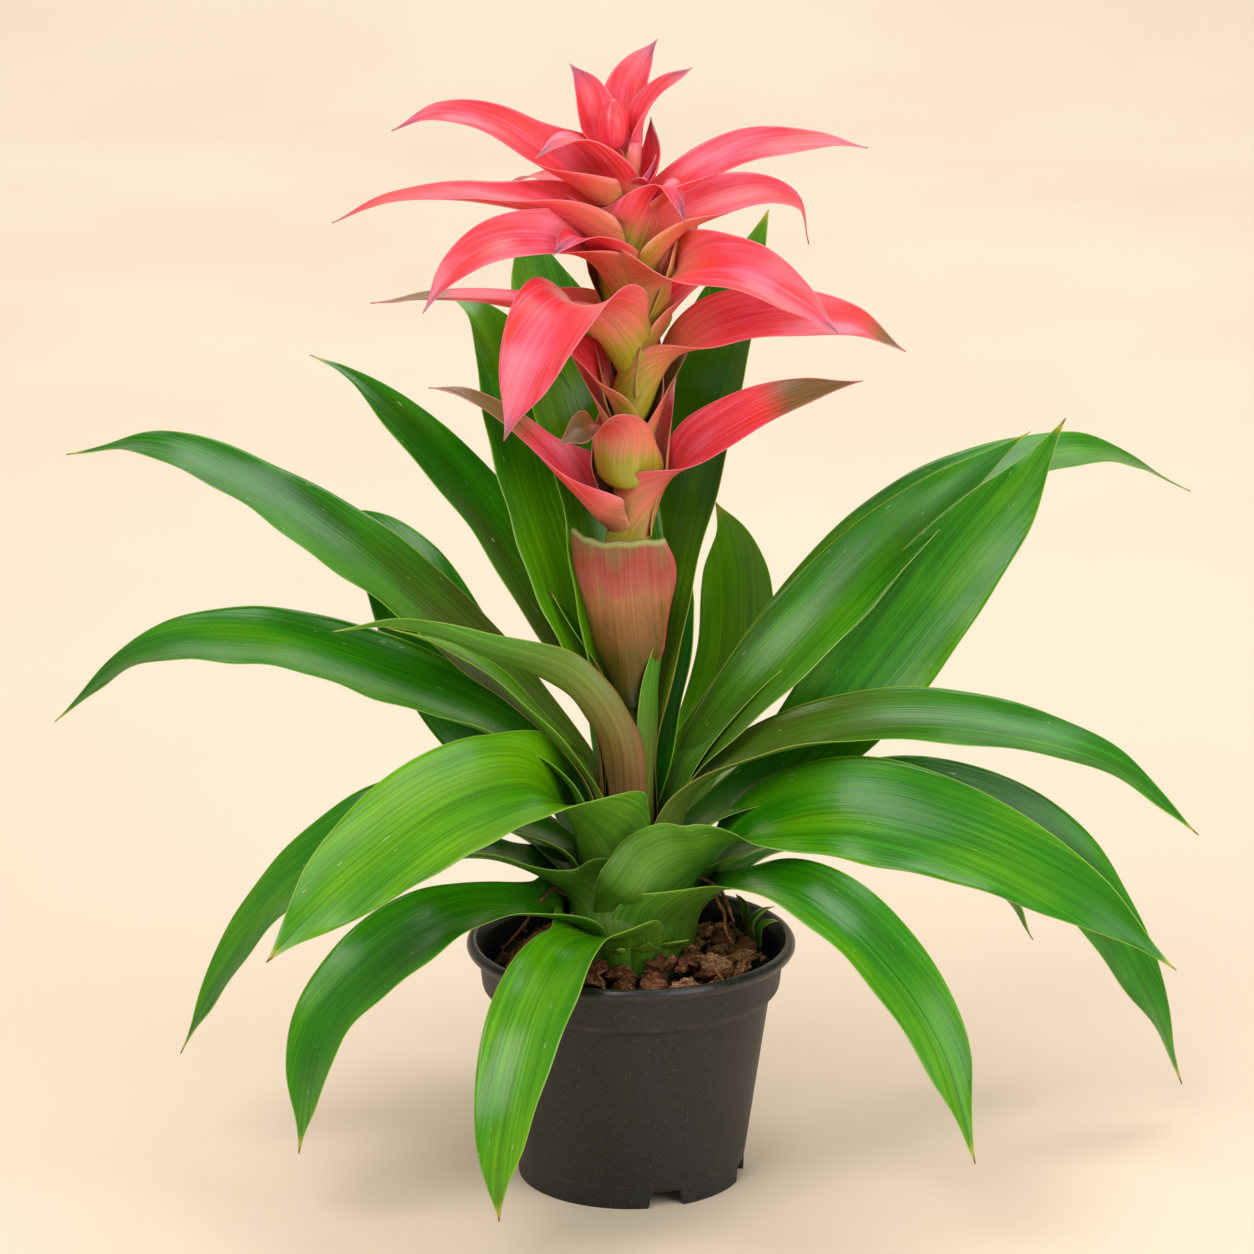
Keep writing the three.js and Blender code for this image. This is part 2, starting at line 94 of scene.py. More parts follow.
def ripple(points: Array, seed: int, size: float, waves: int = 16) -> Array:
    """Soft noise in space: the mean of sine waves with seeded directions and lengths near size.

    Args:
        points: Points with their coordinates on the last axis.
        seed: Picks the waves.
        size: The middle wavelength, in the unit of the points.
        waves: How many waves are summed.

    Returns:
        One value a point, mostly between -1 and 1.
    """
    draw = np.random.default_rng(seed)
    ways = draw.normal(size=(waves, points.shape[-1]))
    ways /= np.linalg.norm(ways, axis=1, keepdims=True)
    lengths = size * draw.uniform(*WAVE_LENGTHS, waves)
    phases = draw.uniform(0.0, TURN, waves)
    turns = points @ (ways * (TURN / lengths[:, None])).T + phases
    return np.sin(turns).sum(axis=-1) * math.sqrt(2.0 / waves)


def paint(code: str) -> Colour:
    """A colour code such as #3a7d20 as linear red, green, blue and alpha, by the usual curve of screens.

    Args:
        code: Red, green and blue, with two hexadecimal digits each.

    Returns:
        The colour: c / 12.92 where c is small, and ((c + 0.055) / 1.055) ^ 2.4 above.
    """
    parts = np.array([int(code[k : k + 2], 16) for k in (1, 3, 5)]) / 255.0
    linear = np.where(parts <= 0.04045, parts / 12.92, ((parts + 0.055) / 1.055) ** 2.4)
    return (float(linear[0]), float(linear[1]), float(linear[2]), 1.0)


# Meshes

def placed(name: str, data: bpy.types.ID) -> bpy.types.Object:
    """Puts a new object into the scene, at the origin.

    Args:
        name: Its name.
        data: Its mesh, curve, light or camera.

    Returns:
        The object.
    """
    made = bpy.data.objects.new(name, data)
    bpy.context.scene.collection.objects.link(made)
    return made


@dataclass
class Shell:
    """Collects grids of points, in millimetres, into one mesh with named values at its points."""

    name: str
    points: list[Array] = field(default_factory=list)
    quads: list[Array] = field(default_factory=list)
    values: dict[str, list[Array]] = field(default_factory=dict)
    count: int = 0

    def add(self, points: Array, quads: Array, values: dict[str, Array]) -> None:
        """Adds points and the faces between them.

        Args:
            points: One row of x, y and z a point.
            quads: One row of four point numbers a face, turned so that it faces outwards.
            values: For each name, one row of three numbers a point.
        """
        self.points.append(points)
        self.quads.append(quads + self.count)
        for name, rows in values.items():
            self.values.setdefault(name, []).append(rows)
        self.count += len(points)

    def build(self, material: bpy.types.Material, slot: str) -> bpy.types.Object:
        """Makes the mesh object, smooth shaded, with its values as vector attributes.

        Args:
            material: The finish of the whole mesh.
            slot: The record's material slot; not used.

        Returns:
            The object, at the origin and riding on the body.
        """
        points = np.concatenate(self.points) * MM
        quads = np.concatenate(self.quads)
        mesh = bpy.data.meshes.new(self.name)
        mesh.from_pydata(points.tolist(), [], quads.tolist())
        for name, blocks in self.values.items():
            layer = mesh.attributes.new(name, "FLOAT_VECTOR", "POINT")
            layer.data.foreach_set("vector", np.concatenate(blocks).astype(np.float32).ravel())
        joined = bmesh.new()
        joined.from_mesh(mesh)
        bmesh.ops.remove_doubles(joined, verts=joined.verts, dist=SAME_POINT)
        joined.to_mesh(mesh)
        joined.free()
        mesh.polygons.foreach_set("use_smooth", np.ones(len(mesh.polygons), dtype=bool))
        mesh.materials.append(material)
        mesh.update()
        made = placed(self.name, mesh)
        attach(made, BODY)
        return made


def spread(shape: Sequence[int], three: Sequence[Array | float]) -> Array:
    """Three numbers a point, as rows, from arrays or numbers that fit the shape of the points' grid."""
    return np.stack([np.broadcast_to(part, shape) for part in three], axis=-1).reshape(-1, 3)


def band_quads(rows: int, columns: int, closed: bool) -> Array:
    """The faces of a grid of points, row by row.

    Args:
        rows: How many rows of points.
        columns: How many points a row.
        closed: True if the last column joins the first.

    Returns:
        One row of four point numbers a face.
    """
    across = np.arange(columns if closed else columns - 1)
    after = (across + 1) % columns
    start = np.arange(rows - 1)[:, None] * columns
    corners = (start + across, start + after, start + columns + after, start + columns + across)
    return np.stack([part.ravel() for part in corners], axis=1)


def lathe(profile: Array, segments: int) -> tuple[Array, Array]:
    """A profile turned about +Z: x = r cos a, y = r sin a. A pole at r = 0 is closed when the mesh is built.

    Args:
        profile: Rows of radius and height, from the bottom pole outside and up to the top pole.
        segments: How many steps round.

    Returns:
        The points and the faces.
    """
    angle = np.linspace(0.0, TURN, segments, endpoint=False)
    radius = profile[:, 0][:, None]
    height = np.broadcast_to(profile[:, 1][:, None], (len(profile), segments))
    points = np.stack([radius * np.cos(angle), radius * np.sin(angle), height], axis=-1)
    return points.reshape(-1, 3), band_quads(len(profile), segments, True)


def rounded(profile: Sequence[tuple[float, float]], reach: float, steps: int = 3) -> Array:
    """A profile with its corners cut by short arcs: near a corner it follows the parabola
    (1 - t)^2 a + 2 t (1 - t) corner + t^2 b between points a and b at reach from the corner.

    Args:
        profile: Rows of radius and height.
        reach: How far from a corner its arc starts, at most MOST_CUT of the side.
        steps: How many steps an arc has.

    Returns:
        The finer profile.
    """
    corners = np.array(profile, dtype=float)
    made = [corners[0]]
    share = np.linspace(0.0, 1.0, steps + 1)[:, None]
    for before, corner, after in zip(corners[:-2], corners[1:-1], corners[2:]):
        sides = [before - corner, after - corner]
        lengths = [max(float(np.linalg.norm(side)), SAME_POINT) for side in sides]
        ends = [corner + side * min(reach / length, MOST_CUT) for side, length in zip(sides, lengths)]
        arc = (1 - share) ** 2 * ends[0] + 2 * share * (1 - share) * corner + share**2 * ends[1]
        made.extend(arc)
    made.append(corners[-1])
    return np.array(made)


def tube(path: Array, radius: Array, segments: int) -> tuple[Array, Array]:
    """A round tube along a path: each ring lies across the path's own direction there.

    Args:
        path: Rows of x, y and z.
        radius: One radius a point of the path.
        segments: How many steps round.

    Returns:
        The points and the faces.
    """
    along = np.gradient(path, axis=0)
    along /= np.linalg.norm(along, axis=1, keepdims=True)
    side = np.cross(along, np.array(OBLIQUE))
    side /= np.linalg.norm(side, axis=1, keepdims=True)
    other = np.cross(along, side)
    angle = np.linspace(0.0, TURN, segments, endpoint=False)[None, :, None]
    ring = side[:, None] * np.cos(angle) + other[:, None] * np.sin(angle)
    points = path[:, None] + ring * radius[:, None, None]
    return points.reshape(-1, 3), band_quads(len(path), segments, True)


# Finishes

class Layer(NamedTuple):
    """A colour over another. Its share goes from first to last while a value goes from low to high."""

    code: str
    low: float
    high: float
    first: float
    last: float = 0.0


class Grain(NamedTuple):
    """Fractal noise: its repeats along each axis, its detail and roughness, and a scale for all axes."""

    repeats: tuple[float, float, float]
    detail: float = 2.0
    rough: float = 0.5
    scale: float = 1.0


class Shader:
    """A node material, put together with short calls."""

    def __init__(self, name: str) -> None:
        """Starts a material with one principled surface."""
        self.material = bpy.data.materials.new(name)
        self.material.use_nodes = True
        self.tree = self.material.node_tree
        self.surface = self.tree.nodes["Principled BSDF"]

    def node(self, kind: str, *sources: object, **settings: object) -> bpy.types.Node:
        """Adds a node.

        Args:
            kind: Its type, without the words ShaderNode.
            *sources: What goes into its first inputs, in their order.
            **settings: Its own settings.

        Returns:
            The node.
        """
        made = self.tree.nodes.new("ShaderNode" + kind)
        for name, value in settings.items():
            setattr(made, name, value)
        for target, source in zip(made.inputs, sources):
            self.put(target, source)
        return made

    def put(self, target: Socket, source: object) -> None:
        """Links a socket or sets its value.

        Args:
            target: The socket.
            source: Another socket, a number or a colour. None leaves the target as it is.
        """
        if isinstance(source, Socket):
            self.tree.links.new(source, target)
        elif source is not None:
            target.default_value = source

    def fill(self, node: bpy.types.Node, **sources: object) -> bpy.types.Node:
        """Puts sources into a node's named inputs.

        Args:
            node: The node.
            **sources: What goes into each input. Its name has _ for a space.

        Returns:
            The node.
        """
        for name, source in sources.items():
            self.put(node.inputs[name.replace("_", " ")], source)
        return node

    def parts(self, vector: object) -> tuple[Socket, ...]:
        """The three numbers of a vector."""
        return tuple(self.node("SeparateXYZ", vector).outputs)

    def mark(self, name: str) -> tuple[Socket, ...]:
        """The three numbers of a mesh attribute."""
        return self.parts(self.node("Attribute", attribute_name=name).outputs["Vector"])

    def place(self) -> Socket:
        """The object's own coordinates, in metres."""
        return self.node("TexCoord").outputs["Object"]

    def point(self, x: object, y: object, z: object) -> Socket:
        """A vector from three numbers."""
        return self.node("CombineXYZ", x, y, z).outputs[0]

    def times(self, first: object, second: object) -> Socket:
        """Two numbers multiplied."""
        return self.node("Math", first, second, operation="MULTIPLY").outputs[0]

    def plus(self, first: object, second: object) -> Socket:
        """Two numbers added."""
        return self.node("Math", first, second, operation="ADD").outputs[0]

    def less(self, first: object, second: object) -> Socket:
        """The second number taken from the first."""
        return self.node("Math", first, second, operation="SUBTRACT").outputs[0]

    def swayed(self, value: object, noise: object, reach: float) -> Socket:
        """A value moved up and down by noise: value + (noise - 0.5) reach."""
        return self.plus(value, self.times(self.less(noise, 0.5), reach))

    def scaled(self, vector: object, size: Sequence[float]) -> Socket:
        """A vector times a scale along each axis."""
        return self.node("VectorMath", vector, size, operation="MULTIPLY").outputs[0]

    def span(self, value: object, low: float, high: float, first: float = 0.0, last: float = 1.0) -> Socket:
        """A value mapped smoothly from low..high to first..last."""
        made = self.node("MapRange", value, low, high, first, last, interpolation_type="SMOOTHSTEP")
        return made.outputs[0]

    def grain(self, vector: object, kind: Grain) -> Socket:
        """Fractal noise about 0.5."""
        made = self.node("TexNoise", self.scaled(vector, kind.repeats))
        return self.fill(made, Scale=kind.scale, Detail=kind.detail, Roughness=kind.rough).outputs["Fac"]

    def cells(self, vector: object, scale: float, feature: str = "F1") -> Socket:
        """Distances to the seeds, or to the edges, of a cell pattern."""
        return self.fill(self.node("TexVoronoi", vector, feature=feature), Scale=scale).outputs["Distance"]

    def mix(self, share: object, first: object, second: object) -> Socket:
        """Two colours mixed. The five inputs before them are for other kinds of data."""
        return self.node("Mix", share, *[None] * 5, first, second, data_type="RGBA").outputs[2]

    def over(self, colour: object, value: object, layer: Layer) -> Socket:
        """A colour with a layer on it where a value asks for it."""
        return self.mix(self.span(value, *layer[1:]), colour, paint(layer.code))

    def tones(self, value: object, stops: Stops) -> Socket:
        """A colour ramp.

        Args:
            value: Where on the ramp.
            stops: Places from 0 to 1, each with its colour code.

        Returns:
            The colour there.
        """
        made = self.node("ValToRGB", value)
        ramp = made.color_ramp
        while len(ramp.elements) < len(stops):
            ramp.elements.new(0.5)
        for element, (place, code) in zip(ramp.elements, stops):
            element.position = place
            element.color = paint(code)
        return made.outputs[0]

    def lit(self, colour: object, value: object) -> Socket:
        """A colour with its brightness multiplied by a value."""
        return self.fill(self.node("HueSaturation"), Color=colour, Value=value).outputs[0]

    def relief(self, *rows: tuple[object, float, float]) -> Socket:
        """Bumps on top of each other.

        Args:
            *rows: A value with its strength and its height in metres, for each bump.

        Returns:
            The normal.
        """
        normal = None
        for value, strength, height in rows:
            made = self.node("Bump")
            self.fill(made, Strength=strength, Distance=height, Height=value, Normal=normal)
            normal = made.outputs[0]
        return normal

    def finish(self, colour: object, rough: object, normal: object, **own: object) -> bpy.types.Material:
        """Fills the surface's inputs and returns the material."""
        self.fill(self.surface, Base_Color=colour, Roughness=rough, Normal=normal, **own)
        return self.material


@dataclass(frozen=True)
class LeafFinish:
    """Glossy strap leaf: veins along the blade, a pale margin, a browned tip and a bronzed base, with painted
    shade near the foot and along the midrib crease.

    The mesh gives lay (mm across, mm along, seed), mark (mm from the margin, mm from the tip, share of the
    length) and tint (underside, bronze, brightness).
    """

    name: str = "leaf_blade"
    aged: float = 1.0
    # Painted shade near the foot reaches this share of the length.
    foot_shade_reach: float = 0.16
    patches: Grain = Grain((0.05, 0.014, 1.0))
    veins: Grain = Grain((1.0, 0.006, 1.0), 3.0, 0.65)
    fibres: Grain = Grain((2.6, 0.02, 1.0))
    scratches: Grain = Grain((0.9, 0.12, 1.0), 1.0, 0.5, 1.3)
    greens: Stops = ((0.12, "#0e4206"), (0.55, "#2e7f02"), (1.0, "#69a806"))
    patchy: Step = (0.3, 0.7, 0.0, 0.34)
    brightness: float = 0.74
    # Painted shade along the midrib crease: the band's width in mm, then the brightness across it.
    crease: Step = (0.1, 1.0, 1.0, 0.0)
    crease_shade: Step = (0.0, 1.0, 1.0, 0.86)
    under: str = "#5e8a30"
    under_share: float = 0.55
    under_light: float = 1.15
    under_rough: float = 0.16
    foot: Layer = Layer("#6f8f2c", 0.02, 0.24, 0.3)
    # Brightness left at the very foot under the painted shade.
    foot_shade_depth: float = 0.6
    bronze: str = "#86503a"
    bronze_share: float = 0.85
    bronze_sway: float = 0.3
    browned: Step = (0.35, 0.85, 1.0, 0.0)
    vein_light: Step = (0.25, 0.75, 0.72, 1.26)
    fibre_light: Step = (0.2, 0.8, 0.93, 1.07)
    margin: str = "#9dbd45"
    rust: Layer = Layer("#b0523a", 0.1, 0.6, 0.0, 1.0)
    rim: Step = (0.12, 0.5, 0.7, 0.0)
    tip_sway: float = 14.0
    yellow: Layer = Layer("#c9bd4a", 2.0, 9.0, 0.6)
    brown: Layer = Layer("#6f4a26", 0.5, 3.5, 0.9)
    pale: Layer = Layer("#cfdcae", 0.76, 0.82, 0.0, 0.55)
    specular: float = 0.36
    rough: Step = (0.2, 0.8, 0.15, 0.3)
    patch_relief: Step = (0.25, 0.003)
    vein_relief: Step = (0.3, 0.0004)
    fibre_relief: Step = (0.2, 0.0002)

    def material(self) -> bpy.types.Material:
        """Builds the node material.

        Returns:
            The material.
        """
        s = Shader(self.name)
        lay = s.mark("lay")
        edge, tip, share = s.mark("mark")
        under, bronze, bright = s.mark("tint")
        kinds = (self.patches, self.veins, self.fibres, self.scratches)
        patch, vein, fibre, scratch = (s.grain(s.point(*lay), kind) for kind in kinds)
        level = s.plus(s.span(patch, *self.patchy), s.times(bright, self.brightness))
        crease = s.span(s.node("Math", lay[0], operation="ABSOLUTE").outputs[0], *self.crease)
        # Painted shade: the green darkened in a narrow line along the midrib crease.
        green = s.lit(s.tones(level, self.greens), s.span(crease, *self.crease_shade))
        back = s.mix(self.under_share, s.lit(green, self.under_light), paint(self.under))
        leaf = s.over(s.mix(under, green, back), share, self.foot)
        # Painted shade: the blade darkened near its foot, fading out along its length.
        leaf = s.lit(leaf, s.span(share, 0.0, self.foot_shade_reach, self.foot_shade_depth, 1.0))
        browned = s.span(s.plus(share, s.times(patch, self.bronze_sway)), *self.browned)
        tan = s.times(bronze, browned)
        leaf = s.mix(s.times(tan, self.bronze_share), leaf, paint(self.bronze))
        leaf = s.lit(leaf, s.span(vein, *self.vein_light))
        leaf = s.lit(leaf, s.span(fibre, *self.fibre_light))
        leaf = s.mix(s.span(edge, *self.rim), leaf, s.over(paint(self.margin), tan, self.rust))
        ragged = s.swayed(tip, vein, self.tip_sway)
        for layer in (self.yellow, self.brown):
            leaf = s.over(leaf, ragged, layer._replace(first=layer.first * self.aged))
        leaf = s.over(leaf, scratch, self.pale)
        rough = s.plus(s.span(vein, *self.rough), s.times(under, self.under_rough))
        rows = ((patch, *self.patch_relief), (vein, *self.vein_relief), (fibre, *self.fibre_relief))
        return s.finish(leaf, rough, s.relief(*rows), Specular_IOR_Level=self.specular)


@dataclass(frozen=True)
class CutLeafFinish:
    """The cut leaf on the stalk: olive brown at its foot, pink above, a pale green rim and red margins."""

    name: str = "cut_leaf"
    patches: Grain = Grain((0.12, 0.06, 1.0), 3.0)
    veins: Grain = Grain((1.3, 0.02, 1.0), 3.0, 0.6)
    sway: float = 0.35
    tones: Stops = (
        (0.08, "#343a0c"), (0.3, "#5e4c12"), (0.45, "#83592a"), (0.62, "#ab7048"),
        (0.74, "#b0564c"), (0.86, "#a4463a"), (0.97, "#86643e"),
    )
    vein_light: Step = (0.25, 0.75, 0.8, 1.2)
    margin: Layer = Layer("#cf5158", 0.3, 1.8, 0.8)
    rim: Layer = Layer("#9db066", 1.3, 3.4, 0.8)
    brown: Layer = Layer("#6a4430", 0.2, 0.8, 0.7)
    rough: float = 0.42
    patch_relief: Step = (0.3, 0.002)
    vein_relief: Step = (0.35, 0.0004)

    def material(self) -> bpy.types.Material:
        """Builds the node material, which reads lay and mark as a leaf's does.

        Returns:
            The material.
        """
        s = Shader(self.name)
        strip = s.point(*s.mark("lay"))
        edge, tip, share = s.mark("mark")
        patch, vein = s.grain(strip, self.patches), s.grain(strip, self.veins)
        colour = s.tones(s.swayed(share, patch, self.sway), self.tones)
        colour = s.lit(colour, s.span(vein, *self.vein_light))
        for value, layer in ((edge, self.margin), (tip, self.rim), (tip, self.brown)):
            colour = s.over(colour, value, layer)
        relief = s.relief((patch, *self.patch_relief), (vein, *self.vein_relief))
        return s.finish(colour, self.rough, relief)


@dataclass(frozen=True)
class BractFinish:
    """Satin coral bract: streaked, with painted pink highlights, green at the cup, with a purple-grey tip.

    The mesh gives lay and mark as on a leaf, and tint (outer face, share that stays green, tip's tone).
    """

    name: str = "bract_blade"
    patches: Grain = Grain((0.08, 0.03, 1.0))
    streaks: Grain = Grain((0.8, 0.012, 1.0), 3.0, 0.6)
    fibres: Grain = Grain((2.8, 0.03, 1.0))
    # Coral ramp in random patches, from an orange-red that stands for shade to a pink that stands for
    # highlight.
    corals: Stops = ((0.25, "#ea3c30"), (0.5, "#eb404e"), (0.8, "#f27b95"))
    # Painted highlight: pink laid on the brighter streaks.
    light: Layer = Layer("#f27b95", 0.45, 0.78, 0.0, 0.55)
    green_sway: float = 0.22
    green_more: float = 0.04
    gold: Layer = Layer("#d99a66", -0.26, 0.0, 0.0, 0.8)
    green: str = "#a6ad2a"
    olive: str = "#6b5322"
    greened: Step = (-0.07, 0.09, 0.0, 0.95)
    tip_sway: float = 16.0
    spent_length: float = 60.0
    leafy: Layer = Layer("#4f6b2c", -8.0, 8.0, 0.85)
    plum: str = "#85587c"
    cool: Step = (1.0, 15.0, 0.75, 0.0)
    warmed: Step = (0.04, 0.3, 1.0, 0.2)
    husk: Layer = Layer("#6a4034", 0.5, 4.0, 0.85)
    streak_light: Step = (0.25, 0.75, 0.88, 1.12)
    fibre_light: Step = (0.2, 0.8, 0.94, 1.06)
    rim: Layer = Layer("#f39aa0", 0.15, 0.6, 0.5)
    spots: tuple[float, float, float] = (0.12, 0.1, 1.0)
    spot: Layer = Layer("#6a4034", 0.03, 0.06, 0.6)
    specular: float = 0.4
    coat: float = 0.25
    coat_rough: float = 0.32
    coat_tint: str = "#ffe3f4"
    subsurface: float = 0.2
    subsurface_radius: tuple[float, float, float] = (1.0, 0.35, 0.25)
    subsurface_scale: float = 0.002
    rough: Step = (0.2, 0.8, 0.28, 0.42)
    patch_relief: Step = (0.2, 0.002)
    streak_relief: Step = (0.3, 0.0004)
    fibre_relief: Step = (0.2, 0.0002)

    def material(self) -> bpy.types.Material:
        """Builds the node material.

        Returns:
            The material.
        """
        s = Shader(self.name)
        strip = s.point(*s.mark("lay"))
        edge, tip, share = s.mark("mark")
        outer, greened, spent = s.mark("tint")
        patch, streak, fibre = (s.grain(strip, kind) for kind in (self.patches, self.streaks, self.fibres))
        # Painted shade and highlight tones from the ramp, then painted pink highlights on the streaks.
        colour = s.over(s.tones(patch, self.corals), streak, self.light)
        reach = s.swayed(share, streak, self.green_sway)
        rest = s.less(s.plus(greened, self.green_more), reach)
        colour = s.over(colour, rest, self.gold)
        base = s.mix(outer, paint(self.olive), paint(self.green))
        colour = s.mix(s.span(rest, *self.greened), colour, base)
        ragged = s.swayed(tip, streak, self.tip_sway)
        colour = s.over(colour, s.less(ragged, s.times(spent, self.spent_length)), self.leafy)
        cool = s.times(s.span(ragged, *self.cool), s.span(spent, *self.warmed))
        colour = s.over(s.mix(cool, colour, paint(self.plum)), ragged, self.husk)
        colour = s.lit(colour, s.span(streak, *self.streak_light))
        colour = s.lit(colour, s.span(fibre, *self.fibre_light))
        colour = s.over(colour, edge, self.rim)
        colour = s.over(colour, s.cells(s.scaled(strip, self.spots), 1.0), self.spot)
        rows = ((patch, *self.patch_relief), (streak, *self.streak_relief), (fibre, *self.fibre_relief))
        return s.finish(
            colour,
            s.span(streak, *self.rough),
            s.relief(*rows),
            Specular_IOR_Level=self.specular,
            Coat_Weight=self.coat,
            Coat_Roughness=self.coat_rough,
            Coat_Tint=paint(self.coat_tint),
            Subsurface_Weight=self.subsurface,
            Subsurface_Radius=self.subsurface_radius,
            Subsurface_Scale=self.subsurface_scale,
        )


@dataclass(frozen=True)
class BarkFinish:
    """Reddish-brown bark: fibrous ridges, dusty spots, and painted shade in hollows, in cracks and under the
    chips.
    """

    name: str = "bark_mix"
    dark: str = "#160b06"
    middle: str = "#87502d"
    light: str = "#c5926a"
    tone_places: Step = (0.28, 0.5, 0.75)
    fibres: Grain = Grain((1.0, 1.0, 2.2), 5.0, 0.65, 420.0)
    broad: Grain = Grain((1.0, 1.0, 1.0), 3.0, 0.5, 130.0)
    fibre_share: float = 0.6
    bright_share: float = 0.4
    dust: Layer = Layer("#d3a67e", 0.58, 0.8, 0.0, 0.4)
    # Painted shade in the plug's low spots and under the chips: its step and how dark.
    hollow_shade: Step = (0.2, 0.9, 0.0, 0.85)
    crack_shape: tuple[float, float, float] = (1.0, 1.0, 2.6)
    crack_scale: float = 300.0
    # Painted shade in the cracks: the band at the cell edges and how dark.
    crack_shade: Step = (0.0, 0.09, 0.7, 0.0)
    crack_depth: Step = (0.0, 0.12)
    crack_relief: Step = (0.6, 0.0006)
    fibre_relief: Step = (0.8, 0.0009)
    rough: float = 0.88

    def material(self) -> bpy.types.Material:
        """Builds the node material. The mesh gives chip (seed, brightness, painted shade).

        Returns:
            The material.
        """
        s = Shader(self.name)
        seed, bright, hollow_shade = s.mark("chip")
        place = s.node("VectorMath", s.place(), s.point(seed, seed, seed)).outputs[0]
        fibre, broad = s.grain(place, self.fibres), s.grain(place, self.broad)
        level = s.plus(s.times(fibre, self.fibre_share), s.times(bright, self.bright_share))
        colour = s.tones(level, tuple(zip(self.tone_places, (self.dark, self.middle, self.light))))
        colour = s.over(colour, broad, self.dust)
        # Painted shade: darker in the plug's low spots and on the undersides of the chips.
        colour = s.over(colour, hollow_shade, Layer(self.dark, *self.hollow_shade))
        cracks = s.cells(s.scaled(place, self.crack_shape), self.crack_scale, "DISTANCE_TO_EDGE")
        # Painted shade: darker along the cell edges that stand for cracks.
        colour = s.over(colour, cracks, Layer(self.dark, *self.crack_shade))
        dents = s.span(cracks, *self.crack_depth)
        relief = s.relief((dents, *self.crack_relief), (fibre, *self.fibre_relief))
        return s.finish(colour, self.rough, relief)


@dataclass(frozen=True)
class PotFinish:
    """Charcoal-black plastic: fine pale flecks, faint scuffs and rubbed edges."""

    name: str = "pot_plastic"
    body: str = "#17191b"
    broad: Grain = Grain((1.0, 1.0, 1.0), 3.0, 0.5, 28.0)
    scuff: Layer = Layer("#222427", 0.45, 0.8, 0.0, 0.5)
    flecks: Grain = Grain((1.0, 1.0, 1.0), 1.0, 0.5, 1700.0)
    fleck: Layer = Layer("#77777c", 0.66, 0.78, 0.0, 0.6)
    rubs: Grain = Grain((1.0, 1.0, 1.0), 3.0, 0.5, 160.0)
    rubbed: Step = (0.35, 0.7)
    worn: str = "#6a5f58"
    worn_share: float = 0.22
    grit: Grain = Grain((1.0, 1.0, 1.0), 2.0, 0.5, 1500.0)
    rough: Step = (0.3, 0.7, 0.48, 0.58)
    bead_gloss: float = 0.2
    grit_relief: Step = (0.25, 0.00015)

    def material(self) -> bpy.types.Material:
        """Builds the node material. The mesh gives wear (rubbed edge, bead, 0).

        Returns:
            The material.
        """
        s = Shader(self.name)
        rubbed, bead, _ = s.mark("wear")
        kinds = (self.broad, self.flecks, self.rubs, self.grit)
        broad, fleck, rub, grit = (s.grain(s.place(), kind) for kind in kinds)
        colour = s.over(s.over(paint(self.body), broad, self.scuff), fleck, self.fleck)
        worn = s.times(rubbed, s.span(rub, *self.rubbed))
        colour = s.mix(s.times(worn, self.worn_share), colour, paint(self.worn))
        rough = s.less(s.span(broad, *self.rough), s.times(bead, self.bead_gloss))
        return s.finish(colour, rough, s.relief((grit, *self.grit_relief)))


@dataclass(frozen=True)
class StemFinish:
    """Crown and stalk: olive green, ribbed along their length, with painted shade darkening them to brown low
    down.
    """

    name: str = "crown_tissue"
    green: str = "#6d8a32"
    olive: str = "#4c5a20"
    # Painted shade: dark brown towards the crown's foot.
    brown: Layer = Layer("#2c2112", 0.09, 0.14, 0.95)
    ribs: Grain = Grain((1.0, 1.0, 0.06), 3.0, 0.5, 900.0)
    rough: float = 0.5
    rib_relief: Step = (0.4, 0.0005)

    def material(self) -> bpy.types.Material:
        """Builds the node material.

        Returns:
            The material.
        """
        s = Shader(self.name)
        rib = s.grain(s.place(), self.ribs)
        colour = s.mix(rib, paint(self.olive), paint(self.green))
        # Painted shade: dark brown below the leaves, by height.
        colour = s.over(colour, s.parts(s.place())[2], self.brown)
        return s.finish(colour, self.rough, s.relief((rib, *self.rib_relief)))


@dataclass(frozen=True)
class PaperFinish:
    """Backdrop paper: cream at the front, paler far off as painted light, with soft stains."""

    name: str = "backdrop_paper"
    cream: str = "#efdcc6"
    # Painted light: the paper grows paler towards the back.
    far: Layer = Layer("#fff4e3", 0.0, 2.4, 0.0, 1.0)
    stains: Grain = Grain((1.0, 1.0, 1.0), 3.0, 0.5, 2.2)
    stain: Layer = Layer("#ecd8bf", 0.3, 0.7, 0.0, 0.4)
    rough: float = 0.9

    def material(self) -> bpy.types.Material:
        """Builds the node material.

        Returns:
            The material.
        """
        s = Shader(self.name)
        # Painted light: paler towards the back.
        colour = s.over(paint(self.cream), s.parts(s.place())[1], self.far)
        colour = s.over(colour, s.grain(s.place(), self.stains), self.stain)
        return s.finish(colour, self.rough, None)


# Blades

class Look(Enum):
    """The finish that a leaf wears."""

    GREEN = "green"
    CUT = "cut"
    SHEATH = "sheath"


